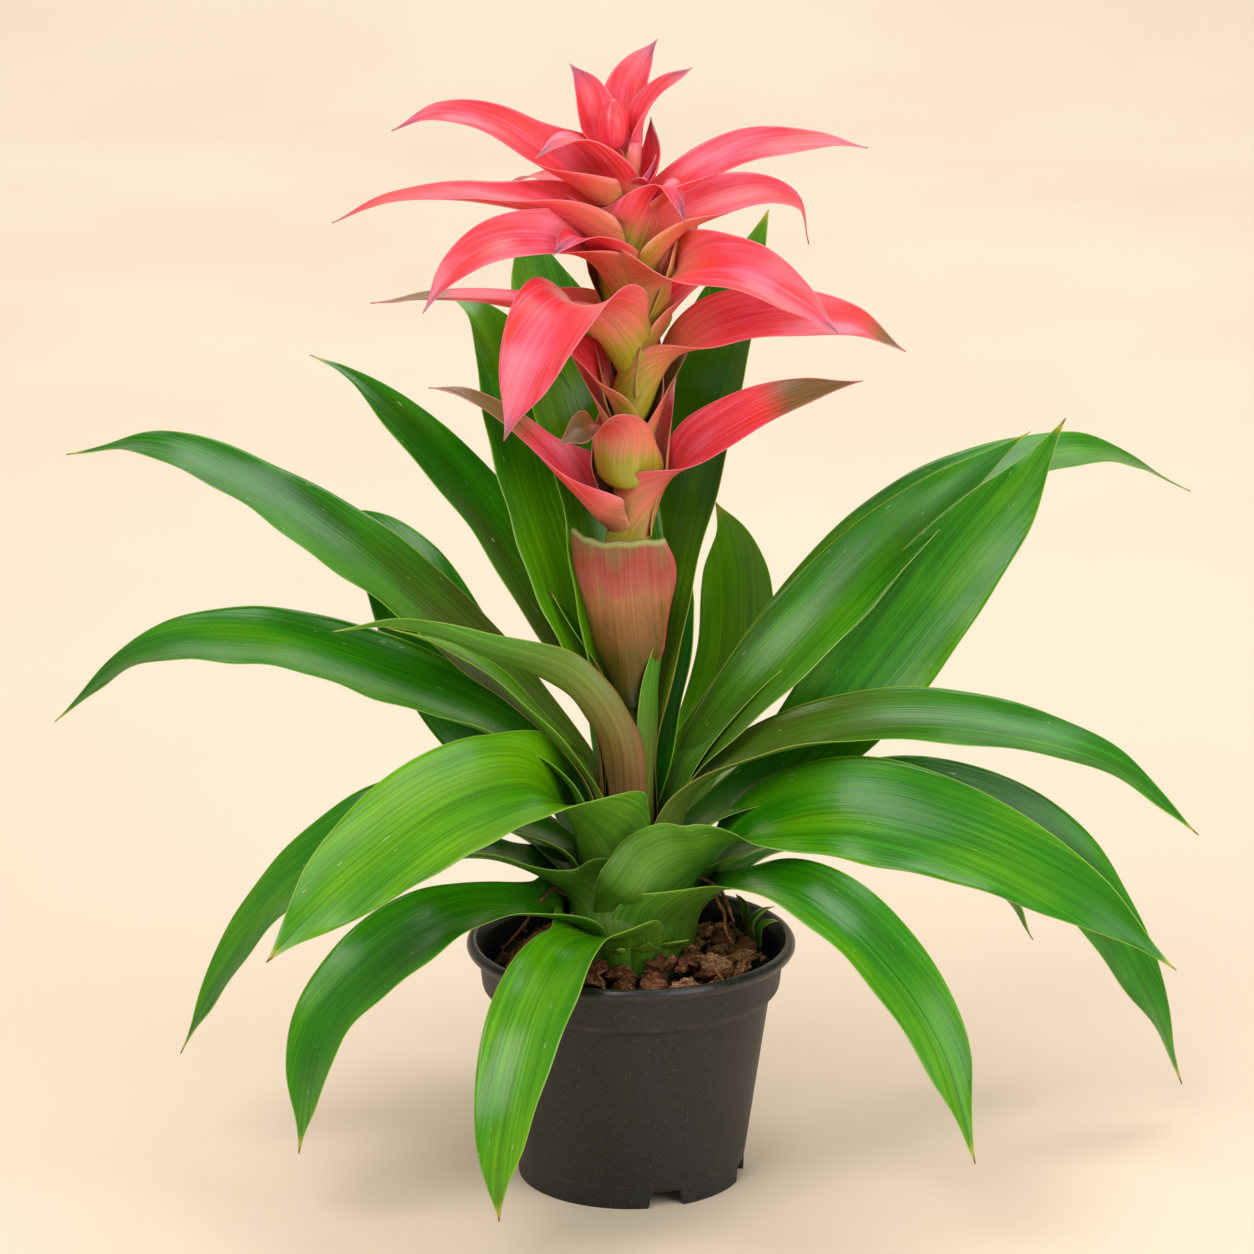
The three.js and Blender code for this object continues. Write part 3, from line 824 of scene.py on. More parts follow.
@dataclass(frozen=True)
class Blade:
    """One leaf or bract, in millimetres and degrees, with the names of the part's driving dimensions.

    clasp is the half angle over which the base clasps the axis, up to the share mouth of the length. cup
    scales the cup there, lean turns it round the axis, and waist is how much of the width is left past it.
    wave is the height of the margin's waves. tint holds what the finish reads: bronze and brightness on a
    leaf, the green share and the tip's tone on a bract.
    """

    name: str
    azimuth: float
    foot: float
    rib: Rib
    width: float
    turn: float = 0.0
    out: float = 0.0
    clasp: float = 50.0
    cup: float = 1.0
    lean: float = 0.0
    mouth: float = 0.1
    waist: float = 0.6
    channel: float = 34.0
    end: float = 16.0
    widest: float = 0.5
    point: float = 2.0
    blunt: float = 0.0
    open: float = 0.32
    roll: float = 0.0
    wave: float = 0.8
    tint: tuple[float, float] = (0.0, 0.45)
    ragged: float = 0.0
    look: Look = Look.GREEN


def bract(azimuth: float, foot: float, rib: Rib, width: float, **own: object) -> Blade:
    """A bract: a deep cup at its base and a short blade.

    Args:
        azimuth: Where it points.
        foot: Height of its root.
        rib: Its midrib.
        width: Its widest part.
        **own: What differs from the usual bract.

    Returns:
        The row.
    """
    usual = Blade("bract", azimuth, foot, rib, width, clasp=100, channel=50, mouth=0.2, open=0.55)
    return replace(replace(usual, widest=0.34, wave=0.5), **own)


@dataclass(frozen=True)
class Crown:
    """The cone that the leaves stand on."""

    soil: float = 88.5
    girth: float = 25.0
    top: float = 140.0
    neck: float = 6.6
    seat: float = 0.55

    def radius(self, height: float) -> float:
        """The cone's radius at a height."""
        share = min(max((height - self.soil) / (self.top - self.soil), 0.0), 1.0)
        return self.girth + (self.neck - self.girth) * share


@dataclass(frozen=True)
class BladeMaker:
    """Works a blade out: a midrib curve that carries a section which is an arc.

    The midrib is an even Catmull-Rom curve through two sheath points and the row's rib. The arc clasps the
    axis at the foot and opens along the blade. Both faces are one closed ring of points a section.
    """

    steps: int = 84
    across: int = 22
    thickness: float = 0.8
    sheath: float = 10.0
    flare: float = 1.0
    samples: int = 40
    least: float = 0.18
    drawn: float = 0.4
    margin_thinned: float = 0.6
    tip_thinned: float = 0.35
    drawn_part: Step = (0.82, 1.0)
    rolling_part: Step = (0.1, 0.5)
    opening_part: Step = (0.4, 1.0)
    waving_part: Step = (0.1, 0.35)
    calming_part: Step = (0.9, 1.0)
    torn_part: Step = (0.8, 1.0)
    wave_lengths: Step = (60.0, 90.0)
    left_rates: Step = (1.0, 2.3)
    right_rates: Step = (0.9, 2.1)
    tears: Step = (2.2, 5.0, 13.0)
    tear_turn: float = 6.0
    tear_seed: int = 100
    pattern_step: float = 7.3

    def midrib(self, blade: Blade, foot_out: float) -> tuple[Array, Array, float]:
        """The midrib at even shares of its length.

        Args:
            blade: The row.
            foot_out: The foot's distance from the axis.

        Returns:
            The points, the unit directions along it, and its length.
        """
        bearing = math.radians(blade.azimuth)
        stand = math.radians(blade.azimuth + blade.turn)
        knots = [
            (
                (foot_out + step * self.flare) * math.cos(stand),
                (foot_out + step * self.flare) * math.sin(stand),
                blade.foot + step * self.sheath,
            )
            for step in (0, 1)
        ]
        for row in blade.rib:
            aside = row[2] if len(row) > 2 else 0.0
            x = row[0] * math.cos(bearing) - aside * math.sin(bearing)
            y = row[0] * math.sin(bearing) + aside * math.cos(bearing)
            knots.append((x, y, row[1]))
        points = np.array(knots)
        ends = (2 * points[:1] - points[1:2], points, 2 * points[-1:] - points[-2:-1])
        a, b, c, d = (np.concatenate(ends)[k : len(points) - 1 + k, None] for k in range(4))
        t = np.linspace(0.0, 1.0, self.samples, endpoint=False)[None, :, None]
        cubic = b + 0.5 * t * (c - a + t * (2 * a - 5 * b + 4 * c - d + t * (3 * (b - c) + d - a)))
        dense = np.concatenate([cubic.reshape(-1, 3), points[-1:]])
        length = np.concatenate([[0.0], np.cumsum(np.linalg.norm(np.diff(dense, axis=0), axis=1))])
        even = np.linspace(0.0, length[-1], self.steps + 1)
        centre = np.stack([np.interp(even, length, dense[:, k]) for k in range(3)], axis=1)
        along = np.gradient(centre, axis=0)
        along /= np.linalg.norm(along, axis=1, keepdims=True)
        return centre, along, float(length[-1])

    def half_width(self, blade: Blade, centre: Array, share: Array) -> Array:
        """Half the blade's width at shares of its length.

        In the cup it is the clasp's angle times the midrib's distance from the axis. Past the mouth it goes
        over to the blade's own width, which grows from the waist to the widest part and tapers to the tip.

        Args:
            blade: The row.
            centre: The midrib.
            share: The shares of the length.

        Returns:
            One half width a share.
        """
        out = np.hypot(centre[:, 0], centre[:, 1])
        held = np.minimum(out, np.interp(blade.mouth, share, out))
        cup = math.radians(blade.clasp) * blade.cup * held
        own = blade.width / 2 * blend(blade.waist, 1.0, smooth(0.0, blade.widest, share))
        swell = blend(cup, own, smooth(blade.mouth, blade.open, share))
        past = np.maximum(share - blade.widest, 0.0) / (1.0 - blade.widest)
        taper = 1.0 - (1.0 - blade.blunt) * past**blade.point
        drawn = 1.0 - self.drawn * (1.0 - blade.blunt) * smooth(*self.drawn_part, share)
        return np.maximum(swell * taper * drawn, self.least)

    def add(self, shell: Shell, blade: Blade, foot_out: float, seed: int) -> None:
        """Adds the blade to a shell.

        A point at s across is centre + reach sin(a s) side + (radius - reach cos(a s)) normal, with a the
        arc's half angle, radius = half width / a, and reach the radius less or plus half the thickness.

        Args:
            shell: Takes the points and faces.
            blade: The row.
            foot_out: The foot's distance from the axis.
            seed: Picks the waves of the margin and the pattern's place.
        """
        centre, along, length = self.midrib(blade, foot_out)
        share = np.linspace(0.0, 1.0, self.steps + 1)
        facing = np.radians(blade.azimuth + blade.turn * (1.0 - smooth(0.0, blade.open, share)))
        side = np.stack([np.sin(facing), -np.cos(facing), np.zeros_like(facing)], axis=1)
        side -= along * np.sum(side * along, axis=1, keepdims=True)
        side /= np.linalg.norm(side, axis=1, keepdims=True)
        roll = np.radians(blade.roll) * smooth(*self.rolling_part, share)
        side = side * np.cos(roll)[:, None] + np.cross(along, side) * np.sin(roll)[:, None]
        normal = np.cross(side, along)
        half = self.half_width(blade, centre, share)
        body = blend(blade.channel, blade.end, smooth(*self.opening_part, share))
        opened = smooth(blade.mouth, blade.open, share)
        arc = np.radians(blend(blade.clasp, body, opened))
        radius = half / arc
        cross = np.linspace(-1.0, 1.0, self.across + 1)
        lap = np.concatenate([cross, cross[::-1]])
        lift = np.concatenate([np.ones(self.across + 1), -np.ones(self.across + 1)])
        angle = arc[:, None] * lap + np.radians(blade.lean) * (1.0 - opened)[:, None]
        thick = self.thickness * (1.0 - self.margin_thinned * np.abs(lap) ** 3)[None, :]
        thick = thick * (1.0 - self.tip_thinned * share)[:, None]
        reach = radius[:, None] - 0.5 * lift * thick - self.wave(blade, share, lap, length, seed)
        points = (
            centre[:, None]
            + (reach * np.sin(angle))[..., None] * side[:, None]
            + (radius[:, None] - reach * np.cos(angle))[..., None] * normal[:, None]
        )
        points += along[:, None] * self.torn(blade, share, lap, seed)[..., None]
        ring = len(lap)
        quads = band_quads(self.steps + 1, ring, True)
        first = np.arange(self.across)
        cap = np.stack([first, ring - 1 - first, ring - 2 - first, first + 1], axis=1)
        tip = cap[:, ::-1] + self.steps * ring
        passed = (share * length)[:, None]
        rows = {
            "lay": (half[:, None] * lap, passed, seed * self.pattern_step),
            "mark": (half[:, None] * (1.0 - np.abs(lap)), ((1.0 - share) * length)[:, None], share[:, None]),
            "tint": ((lift < 0).astype(float), *blade.tint),
        }
        values = {name: spread(points.shape[:2], three) for name, three in rows.items()}
        shell.add(points.reshape(-1, 3), np.concatenate([quads, cap, tip]), values)

    def wave(self, blade: Blade, share: Array, lap: Array, length: float, seed: int) -> Array:
        """How far the blade waves up and down: two sines along, other ones left and right, stronger outwards.

        Args:
            blade: The row.
            share: Shares of the length.
            lap: Where across, from -1 to 1.
            length: The blade's length.
            seed: Picks the sines.

        Returns:
            One height a point.
        """
        draw = np.random.default_rng(seed)
        phase = draw.uniform(0.0, TURN, (2, 2, 1, 1))
        turns = share[:, None] * length / draw.uniform(*self.wave_lengths) * TURN
        rates = np.array([self.left_rates, self.right_rates])[..., None, None]
        slow, quick = np.sin(turns * rates + phase).swapaxes(0, 1)
        left, right = slow + 0.5 * quick
        fade = (smooth(*self.waving_part, share) * (1.0 - smooth(*self.calming_part, share)))[:, None]
        margin = np.where(lap < 0, left, right) * np.abs(lap) ** 3
        return blade.wave * fade * margin

    def torn(self, blade: Blade, share: Array, lap: Array, seed: int) -> Array:
        """How far a cut tip is ragged along the blade: the mean of sines across it.

        Args:
            blade: The row.
            share: Shares of the length.
            lap: Where across, from -1 to 1.
            seed: Picks the sines.

        Returns:
            One shift a point.
        """
        draw = np.random.default_rng(seed + self.tear_seed)
        sines = sum(np.sin(lap * rate + draw.uniform(0.0, self.tear_turn)) for rate in self.tears)
        notch = sines / len(self.tears)
        return blade.ragged * smooth(*self.torn_part, share)[:, None] * notch[None, :]


@dataclass
class Rosette:
    """The leaves, the two leaves on the stalk and the short sheaths at the crown's foot."""

    crown: Crown = field(default_factory=Crown)
    leaves: tuple[Blade, ...] = (
        Blade("leaf_01", -112, 90, ((31, 107), (65, 113), (98, 100), (122, 74), (134, 48), (133, 27)), 34,
              clasp=52, channel=30, tint=(0.0, 0.8), wave=0.6, mouth=0.08, open=0.26),
        Blade("leaf_02", -38, 90.5, ((30, 114), (50, 129), (82, 133), (116, 118), (148, 87), (166, 42)), 36,
              turn=-4, clasp=75, tint=(0.0, 0.58), cup=0.9, mouth=0.06, open=0.24, lean=4, roll=14),
        Blade("leaf_03", -150, 91, ((34, 112), (68, 120), (105, 110), (138, 82), (148, 35)), 40, turn=-22,
              clasp=44, channel=32, roll=-15, tint=(0.0, 0.5)),
        Blade("leaf_04", 33, 91.5, ((32, 110), (68, 122), (134, 110), (182, 82), (200, 58)), 28, clasp=44),
        Blade("leaf_05", 95, 92, ((30, 112), (65, 124), (100, 112), (120, 78), (128, 42)), 34, turn=10),
        Blade("leaf_07", -172, 95, ((28, 119), (58, 134), (95, 130), (125, 112)), 30, turn=30, clasp=66,
              channel=36, tint=(0.1, 0.55), waist=0.85, cup=1.1, mouth=0.16, open=0.4),
        Blade("leaf_06", 145, 96, ((28, 121), (66, 134), (110, 118), (140, 90)), 32),
        Blade("leaf_08", 12, 97, ((34, 124), (88, 145), (132, 139), (178, 112), (212, 62), (230, 17)), 46,
              turn=-14, clasp=40, channel=30, roll=45, tint=(0.0, 0.4)),
        Blade("leaf_10", 65, 98, ((25, 124), (70, 140), (110, 138), (141, 116)), 34),
        Blade("leaf_09", 178, 102, ((29, 135), (81, 150), (130, 121), (160, 84), (180, 46)), 38, clasp=36,
              channel=30, roll=-25, tint=(0.0, 0.52)),
        Blade("leaf_11", 122, 103, ((26, 129), (70, 152), (120, 138), (154, 88)), 34),
        Blade("leaf_12", -16, 104,
              ((19, 121, -20), (25, 127.5, -16), (34, 134.5, -9.5), (52, 147.5, -1), (90, 157), (134, 150),
               (182, 130), (218, 105)),
              46, turn=-52, clasp=56, channel=28, roll=52, tint=(0.0, 0.62), cup=1.1, mouth=0.07, open=0.36,
              lean=4, waist=1.05, widest=0.4),
        Blade("leaf_13", -145, 109, ((24, 146), (48, 169), (85, 168), (124, 151), (150, 135), (168, 121)),
              45, turn=20, clasp=102, channel=24, roll=-46, point=2.4, tint=(0.0, 0.86), cup=0.8, mouth=0.2,
              open=0.42, lean=2),
        Blade("leaf_14", 143, 109, ((27, 150), (70, 172), (95, 200), (115, 228), (141, 243), (162, 232)),
              46, clasp=40, channel=26, roll=-40, tint=(0.0, 0.42)),
        Blade("leaf_17", 13, 110, ((28, 141), (66, 165), (102, 206), (132, 243), (157, 272), (175, 299)),
              44, turn=-5, clasp=34, channel=22, roll=60, widest=0.55, tint=(0.0, 0.56)),
        Blade("leaf_18", 60, 111,
              ((40, 146), (66, 166), (79, 192, -3), (82, 220, -3), (82, 242, 0), (80, 256, 7)), 34,
              channel=26, point=4, widest=0.6, clasp=36, tint=(0.0, 1.05)),
        Blade("leaf_16", 173, 114, ((24, 160), (54, 182), (108, 203), (152, 213), (195, 207), (230, 178)),
              42, clasp=46, channel=42, roll=-22, tint=(0.0, 0.52)),
        Blade("leaf_15", -4, 116, ((24, 156), (50, 175), (97, 187), (144, 185), (188, 173), (222, 145)), 38,
              turn=-30, clasp=48, channel=38, roll=18, tint=(0.3, 0.46), cup=0.9),
        Blade("leaf_21", 96, 117, ((16, 150), (45, 190), (85, 205), (122, 190)), 32, clasp=36),
        Blade("leaf_19", 165, 121, ((19, 162), (53, 199), (102, 239), (151, 269), (193, 285), (232, 279)), 38,
              clasp=44, channel=32, roll=-22, tint=(0.35, 0.36)),
        Blade("leaf_20", 30, 127, ((27, 168), (73, 212), (120, 247), (168, 265), (218, 268), (266, 245)),
              36, turn=5, clasp=34, roll=20, tint=(0.1, 0.5)),
        Blade("leaf_23", -176, 123, ((16, 160), (36, 186), (59, 210), (79, 221), (96, 227)), 22,
              turn=24, clasp=44, channel=40, tint=(0.3, 0.8)),
        Blade("leaf_22", 20, 121, ((27, 166), (60, 204), (104, 246), (140, 272), (168, 289)), 34, turn=-18,
              clasp=40, channel=28, roll=40, tint=(0.2, 0.42)),
        Blade("leaf_25", 60, 127, ((14, 165), (26, 200), (38, 228), (46, 246)), 27, turn=30, clasp=36),
        Blade("leaf_24", -170, 129,
              ((6, 165, 13), (11, 190, 18), (28, 212, 17), (58, 222, 9), (90, 232, 4), (117, 229)), 33,
              turn=58, clasp=64, channel=38, roll=62, widest=0.3, open=0.8, tint=(1.0, 0.5), cup=0.65,
              point=0.8),
        Blade("leaf_26", 162, 131, ((15, 190), (39, 238), (67, 275), (96, 303), (117, 318), (132, 324)), 30,
              clasp=44, channel=28, roll=-30, tint=(0.7, 0.34)),
        Blade("leaf_27", 52, 133, ((11, 200), (35, 277), (58, 330), (88, 376)), 40, clasp=40,
              tint=(0.4, 0.64), point=4),
        Blade("leaf_28", 148, 134, ((11, 190), (25, 238), (40, 275), (52, 314), (68, 340), (84, 348)), 50,
              clasp=40, channel=30, roll=-20, tint=(0.1, 0.72), point=3.2),
        Blade("leaf_29", 122, 137, ((8.8, 200), (19, 262), (47, 318), (84, 374)), 46, clasp=36,
              tint=(0.0, 0.72), point=4.4),
        Blade("leaf_30", -34, 138, ((9, 170), (11, 205), (18, 238)), 15, turn=-15, clasp=44, channel=45,
              tint=(0.5, 0.5)),
    )
    sheaths: tuple[Blade, ...] = (
        Blade("stalk_leaf_1", -113, 194, ((11, 216), (17, 241), (21, 265)), 50, clasp=66, channel=60,
              look=Look.CUT, end=46, widest=0.8, blunt=0.9, ragged=1.2, wave=1.0, tint=(1.0, 0.6)),
        Blade("stalk_leaf_2", 178, 184, ((13, 206), (22, 224), (32, 240)), 13, clasp=40, channel=40,
              tint=(0.8, 0.5)),
        Blade("sheath_1", -78, 89.7, ((29.5, 102), (32, 106)), 17, out=27.2, clasp=15, channel=50,
              waist=1.0, point=1.9, blunt=0.02, tint=(0.0, 0.62), widest=0.2, look=Look.SHEATH),
        Blade("sheath_2", -100, 89.7, ((29.5, 101), (32.5, 103.5)), 16, out=27.2, clasp=15, channel=50,
              waist=1.0, point=1.9, blunt=0.02, tint=(0.0, 0.7), widest=0.2, look=Look.SHEATH),
        Blade("sheath_3", -54, 89.7, ((31, 102.5), (38, 107)), 14, out=27.2, clasp=13, channel=46,
              waist=0.9, point=1.8, blunt=0.02, tint=(0.25, 0.66), widest=0.3, look=Look.SHEATH),
    )

    def build(self) -> None:
        """Makes each blade as a piece that stands for the node of its name."""
        looks = {
            Look.GREEN: LeafFinish().material(),
            Look.CUT: CutLeafFinish().material(),
            # The short sheaths carry painted shade over most of their length.
            Look.SHEATH: LeafFinish(name="short_sheath", aged=0.15, foot_shade_reach=0.9).material(),
        }
        maker = BladeMaker()
        for seed, blade in enumerate(self.leaves + self.sheaths):
            base = self.crown.radius(blade.foot) + self.crown.seat + maker.thickness / 2
            slot = "leaf_blade" if blade.name.startswith("leaf") else "dry_sheath"
            shell = Shell(blade.name + "_blade")
            maker.add(shell, blade, blade.out or base, seed + 1)
            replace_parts(shell.build(looks[blade.look], slot), blade.name)
            LOG.info("blade %s", blade.name)


@dataclass
class Litter:
    """Dry strands of old roots at the crown's foot, and a small sprout that stands in the bark."""

    strands: tuple[tuple[tuple[float, float, float], ...], ...] = (
        ((-21, -10, 112), (-30, -17, 110), (-38, -20, 104), (-46, -27, 98), (-50, -29, 90)),
        ((-22, -4, 116), (-31, -6, 119), (-40, -13, 114), (-45, -12, 104), (-52, -15, 95)),
        ((-23, -12, 104), (-30, -22, 101), (-37, -30, 96), (-43, -34, 89)),
        ((22, -9, 118), (29, -12, 122), (33, -19, 119), (36, -18, 111), (40, -22, 102)),
        ((21, -6, 124), (28, -11, 126), (34, -12, 121), (38, -18, 117), (41, -16, 110)),
        ((18, -17, 96), (27, -28, 99), (34, -34, 95), (38, -38, 90)),
        ((-8, -30, 94), (-13, -39, 96), (-12, -46, 92), (-18, -50, 89)),
    )
    radius: float = 0.55
    rings: int = 24
    sides: int = 7
    thinnest: float = 0.35
    bend_length: float = 14.0
    bend: float = 0.7
    bend_seed: int = 40
    brightness: float = 0.62
    sprout_seed: int = 200
    sprout: tuple[Blade, ...] = (
        Blade("sprout_1", 20, 90, ((53, 98), (57, 102), (61, 103)), 7, out=51, clasp=4, channel=60,
              tint=(0.2, 0.8)),
        Blade("sprout_2", 27, 89, ((52, 99), (51, 104), (47, 108)), 6, out=52, clasp=3, channel=60,
              tint=(0.5, 0.7)),
        Blade("sprout_3", 14, 89, ((54, 97), (59, 99), (62, 97)), 6, out=52, clasp=3, channel=60,
              tint=(0.1, 0.9)),
    )

    def build(self) -> None:
        """Makes both as extra pieces beside the bark."""
        shell = Shell("dry_strands")
        for seed, path in enumerate(self.strands):
            knots = np.array(path, dtype=float)
            share = np.linspace(0.0, 1.0, self.rings)
            marks = np.linspace(0.0, 1.0, len(knots))
            line = np.stack([np.interp(share, marks, knots[:, k]) for k in range(3)], axis=1)
            bends = [ripple(line, self.bend_seed + seed + k, self.bend_length) for k in range(3)]
            line += np.stack(bends, axis=1) * self.bend
            taper = self.radius * (self.thinnest + np.sin(math.pi * share) ** 0.5)
            taper[[0, -1]] = 0.0
            points, quads = tube(line, taper, self.sides)
            shell.add(points, quads, {"chip": spread(points.shape[:1], (seed, self.brightness, 0.0))})
        shell.build(BarkFinish(name="dry_strand", light="#b58d62").material(), "dry_sheath")
        sprout = Shell("sprout")
        maker = BladeMaker(steps=24, across=8, thickness=0.5, sheath=3.0)
        for seed, blade in enumerate(self.sprout):
            maker.add(sprout, blade, blade.out, self.sprout_seed + seed)
        sprout.build(LeafFinish(name="sprout_leaf").material(), "leaf_blade")
        LOG.info("litter")


@dataclass
class FlowerHead:
    """The bracts round the top of the stalk, and the closed heart."""

    low: float = 250.0
    high: float = 428.0
    core_top: float = 412.0
    low_radius: float = 6.0
    high_radius: float = 2.6
    heart_radius: float = 6.3
    heart_height: float = 20.0
    heart_middle: tuple[float, float, float] = (-7.0, -2.5, 423.5)
    heart_rings: int = 21
    heart_sides: int = 36
    core_sides: int = 24
    core_inset: float = 0.6
    root_inset: float = 0.2
    fold: float = 0.06
    folds: float = 3.0
    fold_turn: float = 2.0
    narrowed: float = 0.25
    narrow_part: Step = (0.2, 1.0)
    first_seed: int = 60
    core_mark: Step = (5.0, 60.0, 0.1)
    core_tint: Step = (1.0, 0.6, 0.0)
    heart_mark: Step = (5.0, 60.0, 0.8)
    heart_round: float = 6.0
    heart_pattern: float = 3.0
    bracts: tuple[Blade, ...] = (
        bract(-15, 251, ((19, 290), (43, 310), (67, 322), (91, 329)), 28, turn=-60, roll=45,
              tint=(0.1, 0.6), lean=40, cup=1.25, mouth=0.08, open=0.45, waist=0.9),
        bract(178, 252, ((14, 270), (28, 288), (46, 306), (64, 318), (78, 320)), 18,
              roll=-25, tint=(0.05, 0.7)),
        bract(80, 262, ((13, 290), (30, 308), (60, 314), (84, 304)), 28, tint=(0.2, 0.4), cup=1.5),
        bract(-111, 272, ((11, 284), (13.5, 296), (16, 305), (21, 310, -4), (25, 309, -10), (28, 303, -19)),
              26, tint=(0.42, 0.3), clasp=80, cup=1.2, mouth=0.34, open=0.68, widest=0.5, lean=11),
        bract(20, 282, ((12, 312), (20, 330), (26, 345)), 20,
              tint=(0.3, 0.5)),
        bract(140, 282, ((13, 312), (26, 332), (40, 338)), 26, tint=(0.3, 0.1), cup=1.4),
        bract(-170, 294, ((13, 326), (26, 340), (38, 338)), 28, turn=30, roll=-30, tint=(0.3, 0.1)),
        bract(-10, 300, ((20, 336), (50, 349), (84, 350), (106, 339)), 32, turn=-55, roll=40,
              tint=(0.19, 0.25), lean=20, cup=1.3, mouth=0.1, open=0.45, waist=0.95),
        bract(100, 300, ((13, 330), (40, 342), (66, 338)), 28, tint=(0.3, 0.1), cup=1.6),
        bract(-118, 318, ((17, 343), (41, 361), (67, 348, -3), (84, 317, -9)), 47, tint=(0.2, 0.05),
              clasp=74, cup=1.1, mouth=0.14, open=0.5, lean=-26),
        bract(178, 318, ((18, 344), (50, 353), (78, 355), (100, 353)), 24,
              tint=(0.15, 0.5)),
        bract(40, 318, ((14, 346), (34, 358), (56, 352)), 28, tint=(0.25, 0.0), cup=1.6),
        bract(-35, 332, ((19, 366), (50, 372), (77, 364), (95, 354)), 32, turn=-62, roll=35,
              tint=(0.2, 0.0), lean=15, cup=2.3, mouth=0.16),
        bract(75, 336, ((15, 364), (44, 376), (74, 370), (92, 352)), 28, tint=(0.2, 0.0), cup=1.6),
        bract(-150, 340, ((16, 370), (34, 381), (58, 383), (78, 374), (90, 360)), 28, roll=-35,
              tint=(0.16, 0.0)),
        bract(25, 350, ((20, 382), (48, 391), (70, 387), (76, 370)), 30, roll=25, tint=(0.18, 0.0), cup=1.3),
        bract(-130, 344, ((14, 372), (30, 384), (46, 380)), 30,
              turn=35, tint=(0.34, 0.0)),
        bract(135, 354, ((15, 382), (45, 396), (70, 390)), 26, tint=(0.15, 0.0), cup=1.6),
        bract(180, 356, ((16, 380), (34, 389), (66, 395), (92, 394), (114, 385)), 24, roll=-10,
              tint=(0.1, 0.0), cup=0.85),
        bract(-30, 360, ((8, 384), (10.5, 397), (15.5, 401), (20.5, 395), (23.5, 387.5)), 24, turn=-55,
              tint=(0.3, 0.05), cup=1.95, clasp=85, mouth=0.42, open=0.72, lean=15),
        bract(100, 366, ((14, 394), (36, 406), (58, 400)), 26, tint=(0.1, 0.0), cup=1.5),
        bract(10, 370, ((14, 394), (44, 411), (73, 414), (92, 411)), 23, roll=30, tint=(0.02, 0.0), cup=0.8,
              clasp=78),
        bract(178, 376, ((14, 394), (27, 406), (50, 422), (73, 427), (91, 420)), 21, roll=-40,
              tint=(0.08, 0.0)),
        bract(-150, 380, ((9, 400), (14, 410), (26, 419), (42, 414)), 28, turn=45, tint=(0.12, 0.0),
              cup=1.4),
        bract(30, 384, ((8.5, 402), (11, 413), (8.5, 425)), 20, tint=(0.1, 0.0), clasp=80),
        bract(-20, 390, ((7, 402), (10, 412)), 14, turn=-30, tint=(0.1, 0.0), clasp=70),
        bract(150, 402, ((11, 414), (16, 426), (20, 436), (27, 444)), 22, tint=(0.0, 0.0), roll=-35,
              clasp=80),
        bract(10, 402, ((4, 416), (5, 427), (12, 437), (23.5, 444)), 20, tint=(0.0, 0.0), roll=10, clasp=90,
              turn=-40),
        bract(70, 404, ((9, 424, 5), (12, 438, 4), (18, 453, -4)), 22, tint=(0.0, 0.0)),
    )

    def build(self) -> None:
        """Makes the bloom as one piece that stands for the head's node."""
        shell = Shell("bloom")
        maker = BladeMaker(steps=48, across=18)
        for seed, (blade, foot_out) in enumerate(self.blades()):
            maker.add(shell, blade, foot_out, seed + self.first_seed)
        self.add_core(shell)
        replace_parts(shell.build(BractFinish().material(), "bract_blade"), "flower_head")
        LOG.info("bloom with %d bracts", len(self.bracts))

    def blades(self) -> list[tuple[Blade, float]]:
        """Where the bracts stand: the core's radius goes straight from its low end to its high end.

        Returns:
            The bracts, each with the distance of its root from the axis.
        """
        made = []
        for blade in self.bracts:
            share = min(max((blade.foot - self.low) / (self.high - self.low), 0.0), 1.0)
            radius = self.low_radius + (self.high_radius - self.low_radius) * share
            made.append((blade, radius - self.root_inset))
        return made

    def add_core(self, shell: Shell) -> None:
        """Adds the core as a turned cone, and the heart as a turned circle, narrowed above, with soft folds.

        Args:
            shell: Takes the points and faces.
        """
        rim = (self.low_radius - self.core_inset, self.low)
        profile = np.array([(0.0, self.low), rim, (self.high_radius, self.core_top), (0.0, self.core_top)])
        points, quads = lathe(profile, self.core_sides)
        plain = np.zeros_like(points)
        rows = {"lay": plain, "mark": plain + self.core_mark, "tint": plain + self.core_tint}
        shell.add(points, quads, rows)
        level = np.linspace(0.0, math.pi, self.heart_rings)
        points, quads = lathe(np.stack([np.sin(level), -np.cos(level)], axis=1), self.heart_sides)
        turn = np.arctan2(points[:, 1], points[:, 0])
        fold = 1.0 + self.fold * np.sin(self.folds * turn + self.fold_turn * points[:, 2])
        sharp = 1.0 - self.narrowed * smooth(*self.narrow_part, points[:, 2])
        points[:, :2] *= (self.heart_radius * fold * sharp)[:, None]
        points[:, 2] *= self.heart_height / 2
        plain = np.zeros_like(points)
        lay = spread(turn.shape, (turn * self.heart_round, points[:, 2], self.heart_pattern))
        rows = {"lay": lay, "mark": plain + self.heart_mark, "tint": plain}
        shell.add(points + self.heart_middle, quads, rows)


# Stem, bark and pot

